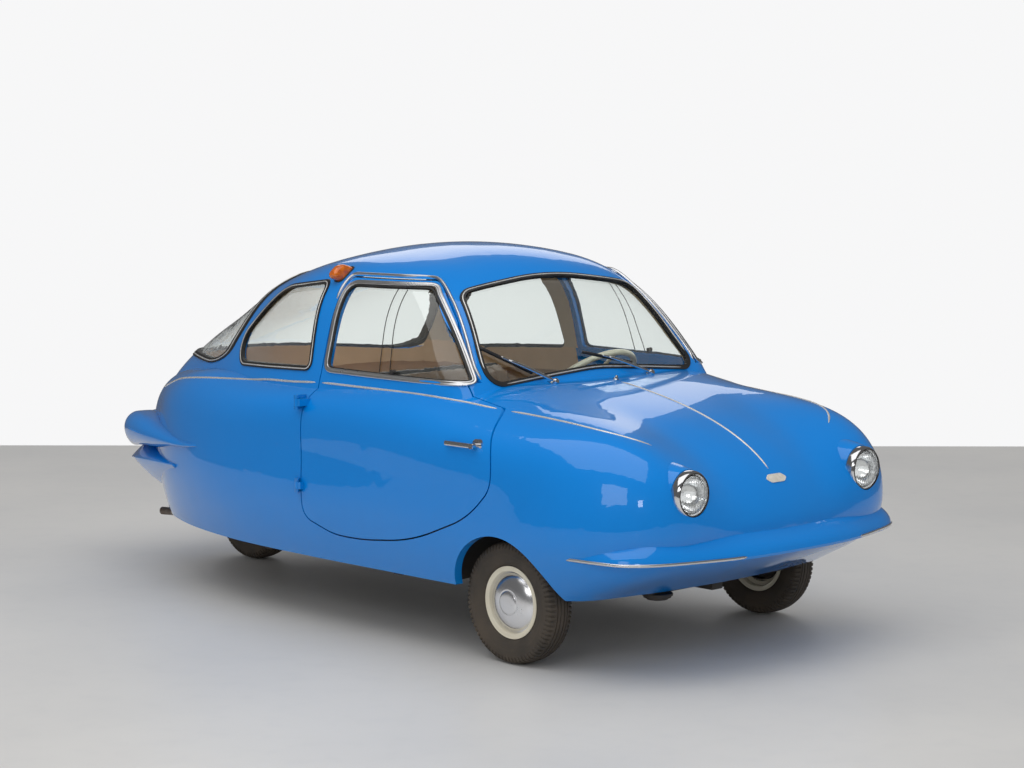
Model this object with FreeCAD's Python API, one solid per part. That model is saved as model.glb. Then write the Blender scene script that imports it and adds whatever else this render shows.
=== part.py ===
import FreeCAD, Part
import math
import os

# Three-wheeled bubble car in millimetres. Nose towards -Y, the car's left side is +X, ground at Z = 0.
# Tables and places count Y from the front axle. The whole car is moved by CENTRE_Y when it is written,
# so that the origin lies on the ground under the middle of its outer box.
V = FreeCAD.Vector

WHEELBASE = 2100.0
TRACK = 1188.0
LIP_FRONT = 668.0
TAIL_END = 2482.0
CENTRE_Y = (TAIL_END - LIP_FRONT) / 2
GROUND_CLEARANCE = 232.0
FLOOR_TOP = 240.0
FLOOR_THICK = 4.0
BODY_WALL = 30.0
CABIN_WALL = 24.0
FIT = 0.3

# Lower body, by station: y, half width at the waist, height of the waist, half width and height of the belt
SIDE = (
    (-700, 560, 480, 500, 640),
    (-500, 655, 480, 590, 690),
    (-300, 697, 490, 625, 735),
    (0, 722, 510, 655, 795),
    (400, 730, 520, 688, 838),
    (850, 730, 520, 685, 846),
    (1300, 712, 520, 650, 838),
    (1650, 655, 520, 595, 808),
    (1950, 555, 520, 505, 755),
    (2200, 411, 510, 371, 700),
    (2450, 264, 500, 234, 640),
)
# Bonnet and deck, by station: y, height on the centre line, rise of the wing, x of the wing's crest
TOP = (
    (-700, 540, 70, 470),
    (-546, 632, 82, 482),
    (-461, 676, 68, 492),
    (-253, 757, 18, 522),
    (0, 823, -16, 560),
    (150, 852, -8, 600),
    (260, 872, 0, 660),
    (900, 860, 0, 660),
    (1650, 822, 0, 600),
    (2100, 775, 0, 450),
    (2300, 712, 0, 350),
    (2450, 625, 0, 300),
)
# Nose and tail on the centre line: z, y of the nose face, y of the tail face
ENDS = (
    (100, -150, 2150),
    (232, -350, 2250),
    (300, -480, 2300),
    (350, -560, 2345),
    (400, -600, 2385),
    (450, -611, 2415),
    (520, -600, 2445),
    (600, -570, 2450),
    (700, -520, 2420),
    (800, -460, 2350),
    (900, -400, 2250),
)
# Roof on the centre line: y, z
ROOF = (
    (300, 1130),
    (476, 1208),
    (600, 1255),
    (750, 1284),
    (900, 1288),
    (1100, 1271),
    (1350, 1215),
    (1600, 1135),
    (1850, 1027),
    (2100, 919),
    (2290, 801),
    (2345, 751),
    (2372, 660),
    (2386, 455),
)
# Cabin sides: y, half width at SILL_Z, half width at CANT_Z
CABIN = (
    (100, 560, 470),
    (250, 595, 492),
    (500, 628, 532),
    (900, 640, 556),
    (1200, 610, 525),
    (1475, 546, 442),
    (1800, 428, 284),
    (2050, 321, 170),
    (2300, 215, 75),
    (2450, 110, 20),
)
SILL_Z = 850.0
CANT_Z = 1165.0
TURN_UNDER = 52.0
SHOULDER_BLEND = 90.0
NOSE_BLEND = 150.0
TAIL_BLEND = 200.0
NOSE_BOW = 2.0e-4
DECK_CROWN = 4.5e-5
# Lamp pods of the nose: reach, middle in x and z, width and height of the swelling
POD = (40.0, 455.0, 630.0, 125.0, 160.0)
WING_WIDTH = 125.0
ROOF_CROWN = 3.2e-4
ROOF_BLEND = 150.0
PILLAR_BLEND = 70.0
SCREEN_Y = 222.0
SCREEN_Z = 858.0
SCREEN_RAKE = 0.726
SCREEN_BOW = 1.0e-4
CABIN_FOOT = 630.0

# Lip round the nose, a plan outline mirrored about the centre: x, y, from the middle to the wheel arch
LIP_EDGE = ((0, -668), (280, -653), (430, -618), (590, -557), (655, -490), (672, -426), (682, -350), (692, -270))
LIP_Z = 380.0
LIP_TOP_Z = 474.0
LIP_THICK = 8.0

# Tail fins and the creases under them, by station: y, x and z of the ridge, depth into the body, height over it
FIN = (
    (1420, 655, 560, 40, 4),
    (1600, 668, 549, 55, 9),
    (1765, 638, 538, 70, 18),
    (2006, 578, 537, 90, 36),
    (2270, 497, 541, 150, 52),
    (2416, 405, 525, 170, 56),
    (2482, 350, 505, 120, 42),
)
CREASE = (
    (1650, 648, 462, 30, 3),
    (1900, 577, 452, 55, 8),
    (2120, 494, 438, 85, 16),
    (2270, 428, 422, 110, 20),
    (2384, 368, 407, 110, 16),
)
FIN_UNDER = 0.45

TYRE_RADIUS = 196.5
TYRE_WIDTH = 105.0
RIM_RADIUS = 102.0
FLANGE_RADIUS = 116.0
RIM_WIDTH = 74.0
RIM_METAL = 3.0
DRUM_RADIUS = 80.0
CAP_RADIUS = 93.0
CAP_HEIGHT = 34.0
AXLE_RADIUS = 10.0
RUNNING_FIT = 0.05

KINGPIN_X = 545.0
KINGPIN_RADIUS = 9.0
EYE_RADIUS = 18.0
LEAF_HALF = 20.0
EYE_LOW_Z = (214.0, 230.0)
EYE_HIGH_Z = (262.0, 278.0)
CARRIER_LOW_Z = 178.0
STEERING_ARM = 60.0
STEERING_BALL = 5.0
STEERING_SLACK = 6.5
ROD_RADIUS = 7.0
ROD_Z = 186.0
CHASSIS_LOW_Z = 188.0
HOUSE_INNER_X = 445.0
HOUSE_RADIUS = 250.0
HOUSE_METAL = 5.0
ARCH_RADIUS = 221.0
ARCH_Y = -12.0
HUB_Z = TYRE_RADIUS


def curve(table, at):
    """Every column of a table at one value of its first column, by monotone cubics."""
    rows = [row[0] for row in table]
    last = len(rows) - 1
    k = 0
    while k < last - 1 and rows[k + 1] < at:
        k += 1
    gap = rows[k + 1] - rows[k]
    t = (at - rows[k]) / gap

    def rate(i, c):
        if i == 0 or i == last:
            j = min(max(i, 1), last)
            return (table[j][c] - table[j - 1][c]) / (rows[j] - rows[j - 1])
        before = (table[i][c] - table[i - 1][c]) / (rows[i] - rows[i - 1])
        after = (table[i + 1][c] - table[i][c]) / (rows[i + 1] - rows[i])
        if before * after <= 0:
            return 0.0
        short, long = rows[i] - rows[i - 1], rows[i + 1] - rows[i]
        wa, wb = 2 * long + short, long + 2 * short
        return (wa + wb) / (wa / before + wb / after)

    values = []
    for c in range(1, len(table[0])):
        a, b = table[k][c], table[k + 1][c]
        ma, mb = rate(k, c) * gap, rate(k + 1, c) * gap
        if t < 0:
            values.append(a + ma * t)
        elif t > 1:
            values.append(b + mb * (t - 1))
        else:
            s = 1 - t
            values.append(a * s * s * (1 + 2 * t) + ma * t * s * s + b * t * t * (1 + 2 * s) - mb * t * t * s)
    return values


def blend(a, b, radius):
    """The larger of two fields, rounded where they meet."""
    near = max(radius - abs(a - b), 0) / radius
    return max(a, b) + near * near * radius / 4


def lower_field(x, y, z):
    """Below zero inside the lower body, about the distance in millimetres outside it."""
    x = abs(x)
    waist, waist_z, belt, belt_z = curve(SIDE, y)
    deck, rise, crest = curve(TOP, y)
    nose_y, tail_y = curve(ENDS, z)
    above = min(max((z - waist_z) / max(belt_z - waist_z, 1), 0), 2)
    under = min(max((waist_z - z) / (waist_z - GROUND_CLEARANCE), 0), 2)
    half = waist - (waist - belt) * above ** 2.2 - TURN_UNDER * under ** 2.4
    wing = math.exp(-((x - crest) / WING_WIDTH) ** 2) - math.exp(-(crest / WING_WIDTH) ** 2)
    side = (x - half) * 0.98
    top = (z - deck - rise * wing + DECK_CROWN * x * x) * 0.93
    pod, pod_x, pod_z, pod_wide, pod_high = POD
    pod *= math.exp(-((x - pod_x) / pod_wide) ** 2 - ((z - pod_z) / pod_high) ** 2)
    body = blend(side, top, SHOULDER_BLEND)
    body = blend(body, nose_y + NOSE_BOW * x * x - pod - y, NOSE_BLEND)
    return blend(body, y - tail_y, TAIL_BLEND)


def cabin_field(x, y, z):
    """The same for the roof and its pillars."""
    x = abs(x)
    sill, cant = curve(CABIN, y)
    half = sill + (cant - sill) * (z - SILL_Z) / (CANT_Z - SILL_Z)
    side = (x - half) * 0.9
    roof = (z - curve(ROOF, y)[0] + ROOF_CROWN * x * x) * 0.95
    screen = (SCREEN_Y + SCREEN_RAKE * (z - SCREEN_Z) + SCREEN_BOW * x * x - y) * 0.81
    return blend(blend(side, roof, ROOF_BLEND), screen, PILLAR_BLEND)


def whole_field(x, y, z):
    return min(lower_field(x, y, z), cabin_field(x, y, z))


def reach(field, start, way, depth=0.0, far=1600.0):
    """Where a ray from inside a field comes out at a depth below its skin."""
    near = 0.0
    while field(*(start + way * far)) < -depth:
        far += 400
    for step in range(24):
        middle = (near + far) / 2
        if field(*(start + way * middle)) < -depth:
            near = middle
        else:
            far = middle
    return start + way * near


def skin(field, centre, stretch, span_x, span_y, rows, columns, depth=0.0):
    """One smooth face over a field, from a square net of rays that fan out from a line along Y."""
    net = []
    for i in range(rows):
        q = span_y * (2 * i / (rows - 1) - 1)
        line = []
        for j in range(columns):
            p = span_x * (2 * j / (columns - 1) - 1)
            r2 = p * p + q * q
            way = V(2 * p, 2 * q, 1 - r2) / (1 + r2)
            line.append(reach(field, centre + V(0, stretch * way.y, 0), way, depth))
        net.append(line)
    face = Part.BSplineSurface()
    face.interpolate(net)
    return face.toShape()


def under(face, floor_z):
    """The solid between a skin and a level floor."""
    world = Part.makeBox(4000, 6000, 2000, V(-2000, -1500, floor_z))
    pieces = world.generalFuse([face])[0].Solids
    return min(pieces, key=lambda piece: piece.Volume)


def lower_solid(depth, floor_z):
    return under(skin(lower_field, V(0, 875, 420), 1025, 1.7, 2.9, 37, 23, depth), floor_z)


def cabin_solid(depth, floor_z=CABIN_FOOT):
    return under(skin(cabin_field, V(0, 1000, 860), 500, 1.7, 1.8, 31, 23, depth), floor_z)


def face_of(points):
    wire = Part.makePolygon(points + [points[0]])
    return Part.Face(wire)


def rounded(points, radii):
    """A closed wire through corners, each rounded by its radius or by what its two sides leave room for."""
    count = len(points)
    legs, halves, cuts = [], [], []
    for i in range(count):
        before, corner, after = points[i - 1], points[i], points[(i + 1) % count]
        u = (before - corner).normalize()
        w = (after - corner).normalize()
        half = math.acos(max(-1.0, min(1.0, u.dot(w)))) / 2
        legs.append((u, w))
        halves.append(half)
        cuts.append(radii[i] / math.tan(half))
    room = [(points[(i + 1) % count] - points[i]).Length * 0.98 / (cuts[i] + cuts[(i + 1) % count])
            for i in range(count)]
    edges, ends = [], []
    for i in range(count):
        share = min(1.0, room[i - 1], room[i])
        radius, cut = radii[i] * share, cuts[i] * share
        u, w = legs[i]
        middle = (u + w).normalize() * (radius / math.sin(halves[i]) - radius)
        ends.append((points[i] + u * cut, points[i] + w * cut))
        edges.append(Part.Arc(ends[i][0], points[i] + middle, ends[i][1]).toShape())
    lines = [Part.makeLine(ends[i][1], ends[(i + 1) % count][0]) for i in range(count)]
    loop = []
    for arc, line in zip(edges, lines):
        loop += [arc, line]
    return Part.Wire(loop)


def grown(outline, grow):
    """A flat outline of (a, b, radius) with every edge moved outwards by grow."""
    count = len(outline)
    area = sum(outline[i - 1][0] * outline[i][1] - outline[i][0] * outline[i - 1][1] for i in range(count))
    hand = 1 if area > 0 else -1
    result = []
    for i in range(count):
        a, b, radius = outline[i]
        ua, ub = a - outline[i - 1][0], b - outline[i - 1][1]
        wa, wb = outline[(i + 1) % count][0] - a, outline[(i + 1) % count][1] - b
        u, w = math.hypot(ua, ub), math.hypot(wa, wb)
        ua, ub, wa, wb = ua / u, ub / u, wa / w, wb / w
        turn = (ua * wb - ub * wa) * hand
        na, nb = (ub + wb) * hand, -(ua + wa) * hand
        scale = grow * 2 / (na * na + nb * nb)
        result.append((a + na * scale, b + nb * scale, max(radius + (grow if turn > 0 else -grow), 2)))
    return result


def side_prism(outline, x_from, x_to):
    """A prism across the car from an outline of (y, z, radius)."""
    wire = rounded([V(x_from, y, z) for y, z, radius in outline], [radius for y, z, radius in outline])
    return Part.Face(wire).extrude(V(x_to - x_from, 0, 0))


def mirrored(shape):
    return shape.mirror(V(0, 0, 0), V(1, 0, 0))


def placed(shape, x, y, z):
    moved = shape.copy()
    moved.translate(V(x, y, z))
    return moved


def tube(start, end, radius, bore=0.0):
    way = end - start
    shape = Part.makeCylinder(radius, way.Length, start, way)
    if bore:
        shape = shape.cut(Part.makeCylinder(bore, way.Length, start, way))
    return shape


def bent_tube(points, radius, bend):
    """A round bar along straight runs with a tangent arc at each corner."""
    edges = []
    here = points[0]
    for i in range(1, len(points) - 1):
        u = (points[i - 1] - points[i]).normalize()
        w = (points[i + 1] - points[i]).normalize()
        half = math.acos(u.dot(w)) / 2
        cut = bend / math.tan(half)
        a, b = points[i] + u * cut, points[i] + w * cut
        m = points[i] + (u + w).normalize() * (bend / math.sin(half) - bend)
        edges += [Part.makeLine(here, a), Part.Arc(a, m, b).toShape()]
        here = b
    edges.append(Part.makeLine(here, points[-1]))
    path = Part.Wire(edges)
    ring = Part.Wire(Part.makeCircle(radius, points[0], points[1] - points[0]))
    return path.makePipeShell([ring], True, False)


def slab(x0, x1, y0, y1, z0, z1):
    return Part.makeBox(x1 - x0, y1 - y0, z1 - z0, V(x0, y0, z0))


def fused(first, *others):
    return first.fuse(list(others)).removeSplitter()


os.makedirs("parts", exist_ok=True)


def write(name, shape):
    moved = shape.copy()
    moved.translate(V(0, -CENTRE_Y, 0))
    moved.exportStep("parts/%s.step" % name)
    print(name, len(moved.Solids), moved.isValid(), round(moved.Volume / 1e6, 2), flush=True)


# Body: two hollow skins, the lip round the nose and the two tail fins
lower_out = lower_solid(0, GROUND_CLEARANCE)
lower_in = lower_solid(BODY_WALL, GROUND_CLEARANCE - 20)
cabin_out = cabin_solid(0)
cabin_in = cabin_solid(CABIN_WALL, CABIN_FOOT - 10)


def lip_ring(inset, z):
    """A closed plan outline of the nose at one height, pulled in from the lip's edge."""
    front = [V(x, y + inset, z) for x, y in LIP_EDGE if x < 600]
    side = [V(x - inset, y + inset * 0.3, z) for x, y in LIP_EDGE if x >= 600]
    half = front + side
    points = [V(-p.x, p.y, z) for p in reversed(half[1:])] + half
    arc = Part.BSplineCurve()
    arc.interpolate(points)
    back = Part.makePolygon([points[-1], V(300, points[-1].y + 60, z), V(-300, points[0].y + 60, z), points[0]])
    return Part.Wire([arc.toShape()] + back.Edges)


LIP_LEVELS = ((92, LIP_TOP_Z), (46, 432), (14, 408), (0, LIP_Z))
lip_upper = Part.makeLoft([lip_ring(inset, z) for inset, z in LIP_LEVELS], True, False)
lip_lower = Part.makeLoft([lip_ring(0, LIP_Z), lip_ring(3, LIP_Z - LIP_THICK)], True, False)


def fin(table):
    """One tail fin or crease on the left: a ridge whose sections grow towards the tail."""
    wires = []
    for y, x, z, depth, half in table:
        tip = V(x, y, z)
        top = V(x - depth, y, z + half)
        foot = V(x - depth, y, z - half * FIN_UNDER)
        upper = Part.Arc(top, V(x - depth * 0.45, y, z + half * 0.72), tip).toShape()
        lower = Part.Arc(tip, V(x - depth * 0.5, y, z - half * 0.12), foot).toShape()
        wires.append(Part.Wire([upper, lower, Part.makeLine(foot, top)]))
    return Part.makeLoft(wires, True, False)


ridges = [fin(FIN), fin(CREASE)]
outside = fused(lower_out, cabin_out, lip_upper, lip_lower, *ridges, *[mirrored(ridge) for ridge in ridges])
shell = outside.cut([lower_in, cabin_in])
print("shell", len(shell.Solids), shell.isValid())

# Door outline in side view, from the belt at the front round the bottom and over the window frame: y, z, radius
DOOR = (
    (69, 791, 105),
    (-2, 656, 300),
    (-2, 564, 130),
    (103, 460, 380),
    (370, 356, 900),
    (622, 328, 1000),
    (770, 328, 340),
    (926, 375, 60),
    (926, 1184, 24),
    (553, 1184, 60),
    (368, 997, 400),
    (183, 845, 60),
)
DOOR_GAP = 5.0
DOOR_DEPTH = 40.0
DOOR_LEAN_END = 700.0
DOOR_HINGE_Y = 928.0
DOOR_HINGE_X = 742.0
HINGE_HEIGHTS = (484.0, 766.0)
HINGE_HALF = 24.0
HINGE_LEAF = 20.0
HINGE_BARREL = 7.0
HINGE_PIN = 3.0
# Where the door ends inside the cowl: x, y and z of the corner that stays with the body
COWL = (560.0, 300.0, 866.0)


def door_prism(grow):
    """The door's own block on the right side. Its front faces lean with the swing about the hinge line."""
    rings = []
    for x in (-800.0, -400.0):
        corners, radii = [], []
        for y, z, radius in grown(DOOR, grow):
            skin_x = reach(whole_field, V(0, y, z), V(-1, 0, 0)).x
            lean = 0.0
            if y < DOOR_LEAN_END:
                lean = (DOOR_HINGE_X + skin_x + DOOR_DEPTH) / (DOOR_HINGE_Y - y)
            corners.append(V(x, y + lean * (x - skin_x), z))
            radii.append(radius)
        rings.append(rounded(corners, radii))
    x, y, z = COWL
    return Part.makeLoft(rings, True, True).cut(slab(grow - x, 0, -200, y - grow, 600, z - grow))


# Side windows: y, z, radius
DOOR_WINDOW = ((236, 868, 14), (900, 876, 14), (905, 1160, 30), (548, 1162, 34))
QUARTER = ((985, 866, 28), (1490, 846, 60), (1545, 930, 80), (1330, 1130, 200), (1020, 1166, 34))
# Windscreen in its own plane: x, height along the glass from the foot, radius
SCREEN = (
    (-492, 0, 55),
    (0, 32, 900),
    (492, 0, 55),
    (486, 90, 300),
    (412, 384, 66),
    (0, 430, 1400),
    (-412, 384, 66),
    (-486, 90, 300),
)
# Rear window seen from behind: x, z, radius
REAR = (
    (-492, 826, 60),
    (492, 826, 60),
    (462, 1040, 300),
    (330, 1168, 110),
    (-330, 1168, 110),
    (-462, 1040, 300),
)
GLASS_THICK = 4.0
GLASS_DEPTH = 6.0
GASKET_LIP = 5.0
GASKET_WIDTH = 12.0
GASKET_PROUD = 4.0


def side_window(outline, grow):
    return side_prism(grown(outline, grow), -800.0, -380.0)


def screen_window(grow):
    """The windscreen's prism, square to the glass."""
    lean = math.atan(SCREEN_RAKE)
    up = V(0, math.sin(lean), math.cos(lean))
    out = V(0, -math.cos(lean), math.sin(lean))
    foot = V(0, SCREEN_Y, SCREEN_Z)
    outline = grown(SCREEN, grow)
    wire = rounded([foot + V(x, 0, 0) + up * h + out * 120 for x, h, radius in outline], [row[2] for row in outline])
    return Part.Face(wire).extrude(out * -260)


def rear_window(grow):
    """The rear window's prism along Y, opened only behind the quarter windows."""
    outline = grown(REAR, grow)
    wire = rounded([V(x, 2600, z) for x, z, radius in outline], [row[2] for row in outline])
    prism = Part.Face(wire).extrude(V(0, -1400, 0))
    wedge = face_of([V(0, 1290, 1300), V(0, 1700, 760), V(0, 2700, 760), V(0, 2700, 1300)])
    wedge.translate(V(-700, 0, 0))
    return prism.common(wedge.extrude(V(1400, 0, 0)))


PILLAR = 34.0
door_hole = door_prism(0).cut(screen_window(PILLAR))
door_body = door_prism(-DOOR_GAP).cut(screen_window(PILLAR + DOOR_GAP))
arch = Part.makeCylinder(ARCH_RADIUS, 500, V(-900, ARCH_Y, HUB_Z), V(1, 0, 0))
REAR_ARCH = 30.0
rear_arch = Part.makeCylinder(TYRE_RADIUS + REAR_ARCH, TYRE_WIDTH + 2 * REAR_ARCH,
                              V(-TYRE_WIDTH / 2 - REAR_ARCH, WHEELBASE, HUB_Z), V(1, 0, 0))
LID = ((-215, 440, 40), (215, 440, 40), (190, 606, 40), (-190, 606, 40))
LID_GAP = 6.0
LID_SWEEP = -0.2
LID_PLANE_Y = 2396.0
LID_HINGE_Z = 618.0


def lid_prism(grow):
    outline = grown(LID, grow)
    wire = rounded([V(x, LID_PLANE_Y, z) for x, z, radius in outline], [row[2] for row in outline])
    prism = Part.Face(wire).extrude(V(0, -450, -450 * LID_SWEEP))
    prism.translate(V(0, 150, 150 * LID_SWEEP))
    return prism


def quarter_window(grow):
    return side_window(QUARTER, grow)


quarter = quarter_window(0)
cutters = [screen_window(0), rear_window(0), lid_prism(0), arch, mirrored(arch), rear_arch]
cutters += [door_hole, mirrored(door_hole), quarter, mirrored(quarter)]
body = shell.cut(cutters)

# Skins a little apart give the glass and the rubber their own curved layers
cabin_rubber_out = cabin_solid(-GASKET_PROUD)
cabin_glass_out = cabin_solid(GLASS_DEPTH)
cabin_glass_in = cabin_solid(GLASS_DEPTH + GLASS_THICK)
cabin_rubber_in = cabin_solid(GLASS_DEPTH + GLASS_THICK + 4)
glass_layer = cabin_glass_out.cut(cabin_glass_in)
rubber_layer = cabin_rubber_out.cut(cabin_rubber_in)


def pane(window):
    """A window's glass, reaching into its rubber by half the rubber's width."""
    return glass_layer.common(window(-GASKET_WIDTH / 2))


def gasket(window, glass):
    """The rubber round a window: it covers the edge of the hole and grips the glass."""
    ring = rubber_layer.common(window(GASKET_LIP).cut(window(-GASKET_WIDTH)))
    return ring.cut([body, glass])


screen_glass = pane(screen_window)
rear_glass = pane(rear_window)
quarter_glass = pane(quarter_window)
screen_rubber = gasket(screen_window, screen_glass)
rear_rubber = gasket(rear_window, rear_glass)
quarter_rubber = gasket(quarter_window, quarter_glass)

write("windscreen_glass", screen_glass)
write("windscreen_gasket", screen_rubber)
write("rear_window_glass", rear_glass)
write("rear_window_gasket", rear_rubber)
write("quarter_glass_right", quarter_glass)
write("quarter_glass_left", mirrored(quarter_glass))
write("quarter_gaskets", Part.makeCompound([quarter_rubber, mirrored(quarter_rubber)]))

# Doors: a piece of both skins inside the door's outline, with its window, glass, handle and hinges
skin_layer = lower_out.fuse(cabin_out).cut([lower_in, cabin_in])
right_side = slab(-900, -HOUSE_INNER_X + 60, -200, 1100, 200, 1250)


def door_window(grow):
    return side_window(DOOR_WINDOW, grow)


outer_hull = lower_out.fuse(cabin_out)


def skin_x(y, z):
    return reach(lower_field, V(0, y, z), V(-1, 0, 0)).x


def hinge(z, on_door):
    """One leaf of a door hinge with its knuckle, on the body or on the door."""
    pin = V(-DOOR_HINGE_X, DOOR_HINGE_Y, z)
    up = V(0, 0, 1)
    half, inner_x = HINGE_HALF / 2, skin_x(DOOR_HINGE_Y, z) + 8
    if on_door:
        knuckle = Part.makeCylinder(HINGE_BARREL, HINGE_HALF, pin - up * half, up)
        leaf = slab(-DOOR_HINGE_X - 2, inner_x, DOOR_HINGE_Y - HINGE_LEAF, DOOR_HINGE_Y, z - half, z + half)
        root = slab(-DOOR_HINGE_X - 2, inner_x, DOOR_HINGE_Y - HINGE_LEAF, DOOR_HINGE_Y - 9, z - half, z + half)
        bore = Part.makeCylinder(HINGE_PIN + RUNNING_FIT, 3 * HINGE_HALF, pin - up * 1.5 * HINGE_HALF, up)
        return knuckle.fuse(leaf).cut(outer_hull).fuse(root).cut(bore)
    near = half + FIT
    leaf = slab(-DOOR_HINGE_X + 1, inner_x, DOOR_HINGE_Y + 4, DOOR_HINGE_Y + 14, z - HINGE_HALF, z + HINGE_HALF)
    leaf = leaf.cut(Part.makeCylinder(HINGE_BARREL + 2, 2 * near, pin - up * near, up))
    pieces = [leaf, Part.makeCylinder(HINGE_PIN, 2 * HINGE_HALF, pin - up * HINGE_HALF, up)]
    for foot in (z - HINGE_HALF, z + near):
        pieces.append(Part.makeCylinder(HINGE_BARREL, HINGE_HALF - near, V(pin.x, pin.y, foot)))
        pieces.append(slab(-DOOR_HINGE_X - 3, -DOOR_HINGE_X + 3, DOOR_HINGE_Y, DOOR_HINGE_Y + 10,
                           foot, foot + HINGE_HALF - near))
    return fused(*pieces)


door_leaf = skin_layer.common(door_body).common(right_side)
door_leaf = door_leaf.cut(door_window(0))
print("door solids", [round(piece.Volume / 1e6, 2) for piece in door_leaf.Solids])
door_leaf = max(door_leaf.Solids, key=lambda piece: piece.Volume)
door_leaves = [hinge(z, True) for z in HINGE_HEIGHTS]
body_leaves = [hinge(z, False).cut(outer_hull) for z in HINGE_HEIGHTS]
door_leaf = door_leaf.fuse(door_leaves)
write("door_right", door_leaf)
write("door_left", mirrored(door_leaf))
body_hinges = Part.makeCompound(body_leaves)
write("door_hinges", Part.makeCompound([body_hinges, mirrored(body_hinges)]))

door_glass = glass_layer.common(door_window(-FIT)).cut(screen_window(PILLAR + DOOR_GAP))
write("door_glass_right", door_glass)
write("door_glass_left", mirrored(door_glass))

HANDLE_Y = 74.0
HANDLE_Z = 695.0
HANDLE_LENGTH = 124.0


def door_handle():
    """A round rose with a lever that points to the rear, on the right door."""
    face_x = reach(lower_field, V(0, HANDLE_Y, HANDLE_Z), V(-1, 0, 0)).x
    rose = Part.makeCylinder(21, 12, V(face_x + 6, HANDLE_Y, HANDLE_Z), V(-1, 0, 0))
    neck = Part.makeCylinder(9, 34, V(face_x, HANDLE_Y, HANDLE_Z), V(-1, 0, 0))
    lever = slab(face_x - 34, face_x - 22, HANDLE_Y - 9, HANDLE_Y + HANDLE_LENGTH, HANDLE_Z - 8, HANDLE_Z + 8)
    lever = lever.makeFillet(5, lever.Edges)
    return fused(rose, neck, lever).cut(outer_hull)


handle = door_handle()
write("door_handle_right", handle)
write("door_handle_left", mirrored(handle))

# Engine lid in the tail
lid = lower_out.cut(lower_in).common(lid_prism(-LID_GAP))
LID_PIN_STAND = 10.0
lid_hinge_y = reach(lower_field, V(130, 2000, LID_HINGE_Z), V(0, 1, 0)).y + LID_PIN_STAND
STRAP_THICK = 7.0
PLATE_REACH = 34.0
STRAP_LIFT = 2.5
strap_layer = lower_solid(-STRAP_THICK, GROUND_CLEARANCE)
# Near the pin the lid's own strap stands off the skin, so that it can turn
strap_room = placed(lower_out, 0, STRAP_LIFT, 0).common(
    slab(-200, 200, 2200, 2500, LID_HINGE_Z - 16, LID_HINGE_Z + 10))
lid_pins, lid_knuckles = [], []


def lid_strap(x0, x1, z0, z1):
    """A plate that lies on the tail's skin between two heights."""
    return slab(x0, x1, 2200, 2500, z0, z1).common(strap_layer).cut(outer_hull)


for x in (-130, 130):
    left, right = x - 15, x + 15
    bore = Part.makeCylinder(2 + RUNNING_FIT, 80, V(x - 40, lid_hinge_y, LID_HINGE_Z), V(1, 0, 0))
    middle = Part.makeCylinder(5, 30, V(left, lid_hinge_y, LID_HINGE_Z), V(1, 0, 0)).cut(outer_hull)
    strap = lid_strap(left, right, LID_HINGE_Z - PLATE_REACH - 10, LID_HINGE_Z - 1)
    lid_knuckles.append(middle.fuse(strap).cut([bore, strap_room]))
    pin = [Part.makeCylinder(2, 60, V(x - 30, lid_hinge_y, LID_HINGE_Z), V(1, 0, 0))]
    for e in (x - 30, right + FIT):
        pin.append(Part.makeCylinder(5, 15 - FIT, V(e, lid_hinge_y, LID_HINGE_Z), V(1, 0, 0)))
        pin.append(lid_strap(e, e + 15 - FIT, LID_HINGE_Z, LID_HINGE_Z + PLATE_REACH))
    lid_pins.append(fused(*pin).cut(placed(outer_hull, 0, FIT, 0)))
lid = lid.fuse(lid_knuckles)
print("lid solids", len(lid.Solids), "hinge y", lid_hinge_y)
write("engine_lid", lid)
write("engine_lid_hinges", Part.makeCompound(lid_pins))
LAMP = V(421, -569, 580)
BUCKET_RADIUS = 68.0
lamp_hole = Part.makeCylinder(BUCKET_RADIUS + FIT, 300, V(LAMP.x, LAMP.y - 150, LAMP.z), V(0, 1, 0))
body = body.cut([lamp_hole, mirrored(lamp_hole)])
write("body_shell", body)

# Hull that fits inside both skins with a little room
fit_in = lower_solid(BODY_WALL + FIT, 150).fuse(cabin_solid(CABIN_WALL + FIT, CABIN_FOOT - 10))


def revolved(points):
    """A ring from a closed outline of (along, radius), turned about the X axis."""
    return face_of([V(a, 0, r) for a, r in points]).revolve(V(0, 0, 0), V(1, 0, 0), 360)


def tyre():
    """The tyre's section: beads inside the rim's flanges, walls that bulge over them, a crowned tread."""
    half = TYRE_WIDTH / 2
    bead = RIM_WIDTH / 2 - RIM_METAL - FIT
    points = [
        V(bead - 1, 0, RIM_RADIUS + FIT),
        V(bead, 0, FLANGE_RADIUS + FIT),
        V(RIM_WIDTH / 2 + FIT, 0, FLANGE_RADIUS + 1),
        V(half, 0, 152),
        V(half - 7, 0, TYRE_RADIUS - 9),
        V(half - 20, 0, TYRE_RADIUS - 2.2),
        V(0, 0, TYRE_RADIUS),
    ]

    def side(hand):
        p = [V(hand * q.x, 0, q.z) for q in points]
        return [Part.makeLine(p[0], p[1]), Part.makeLine(p[1], p[2]), Part.Arc(p[2], p[3], p[4]).toShape(),
                Part.Arc(p[4], p[5], p[6]).toShape()]

    seat = Part.makeLine(V(1 - bead, 0, points[0].z), points[0])
    section = Part.Face(Part.Wire(Part.__sortEdges__(side(1) + side(-1) + [seat])))
    return section.revolve(V(0, 0, 0), V(1, 0, 0), 360)


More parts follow.
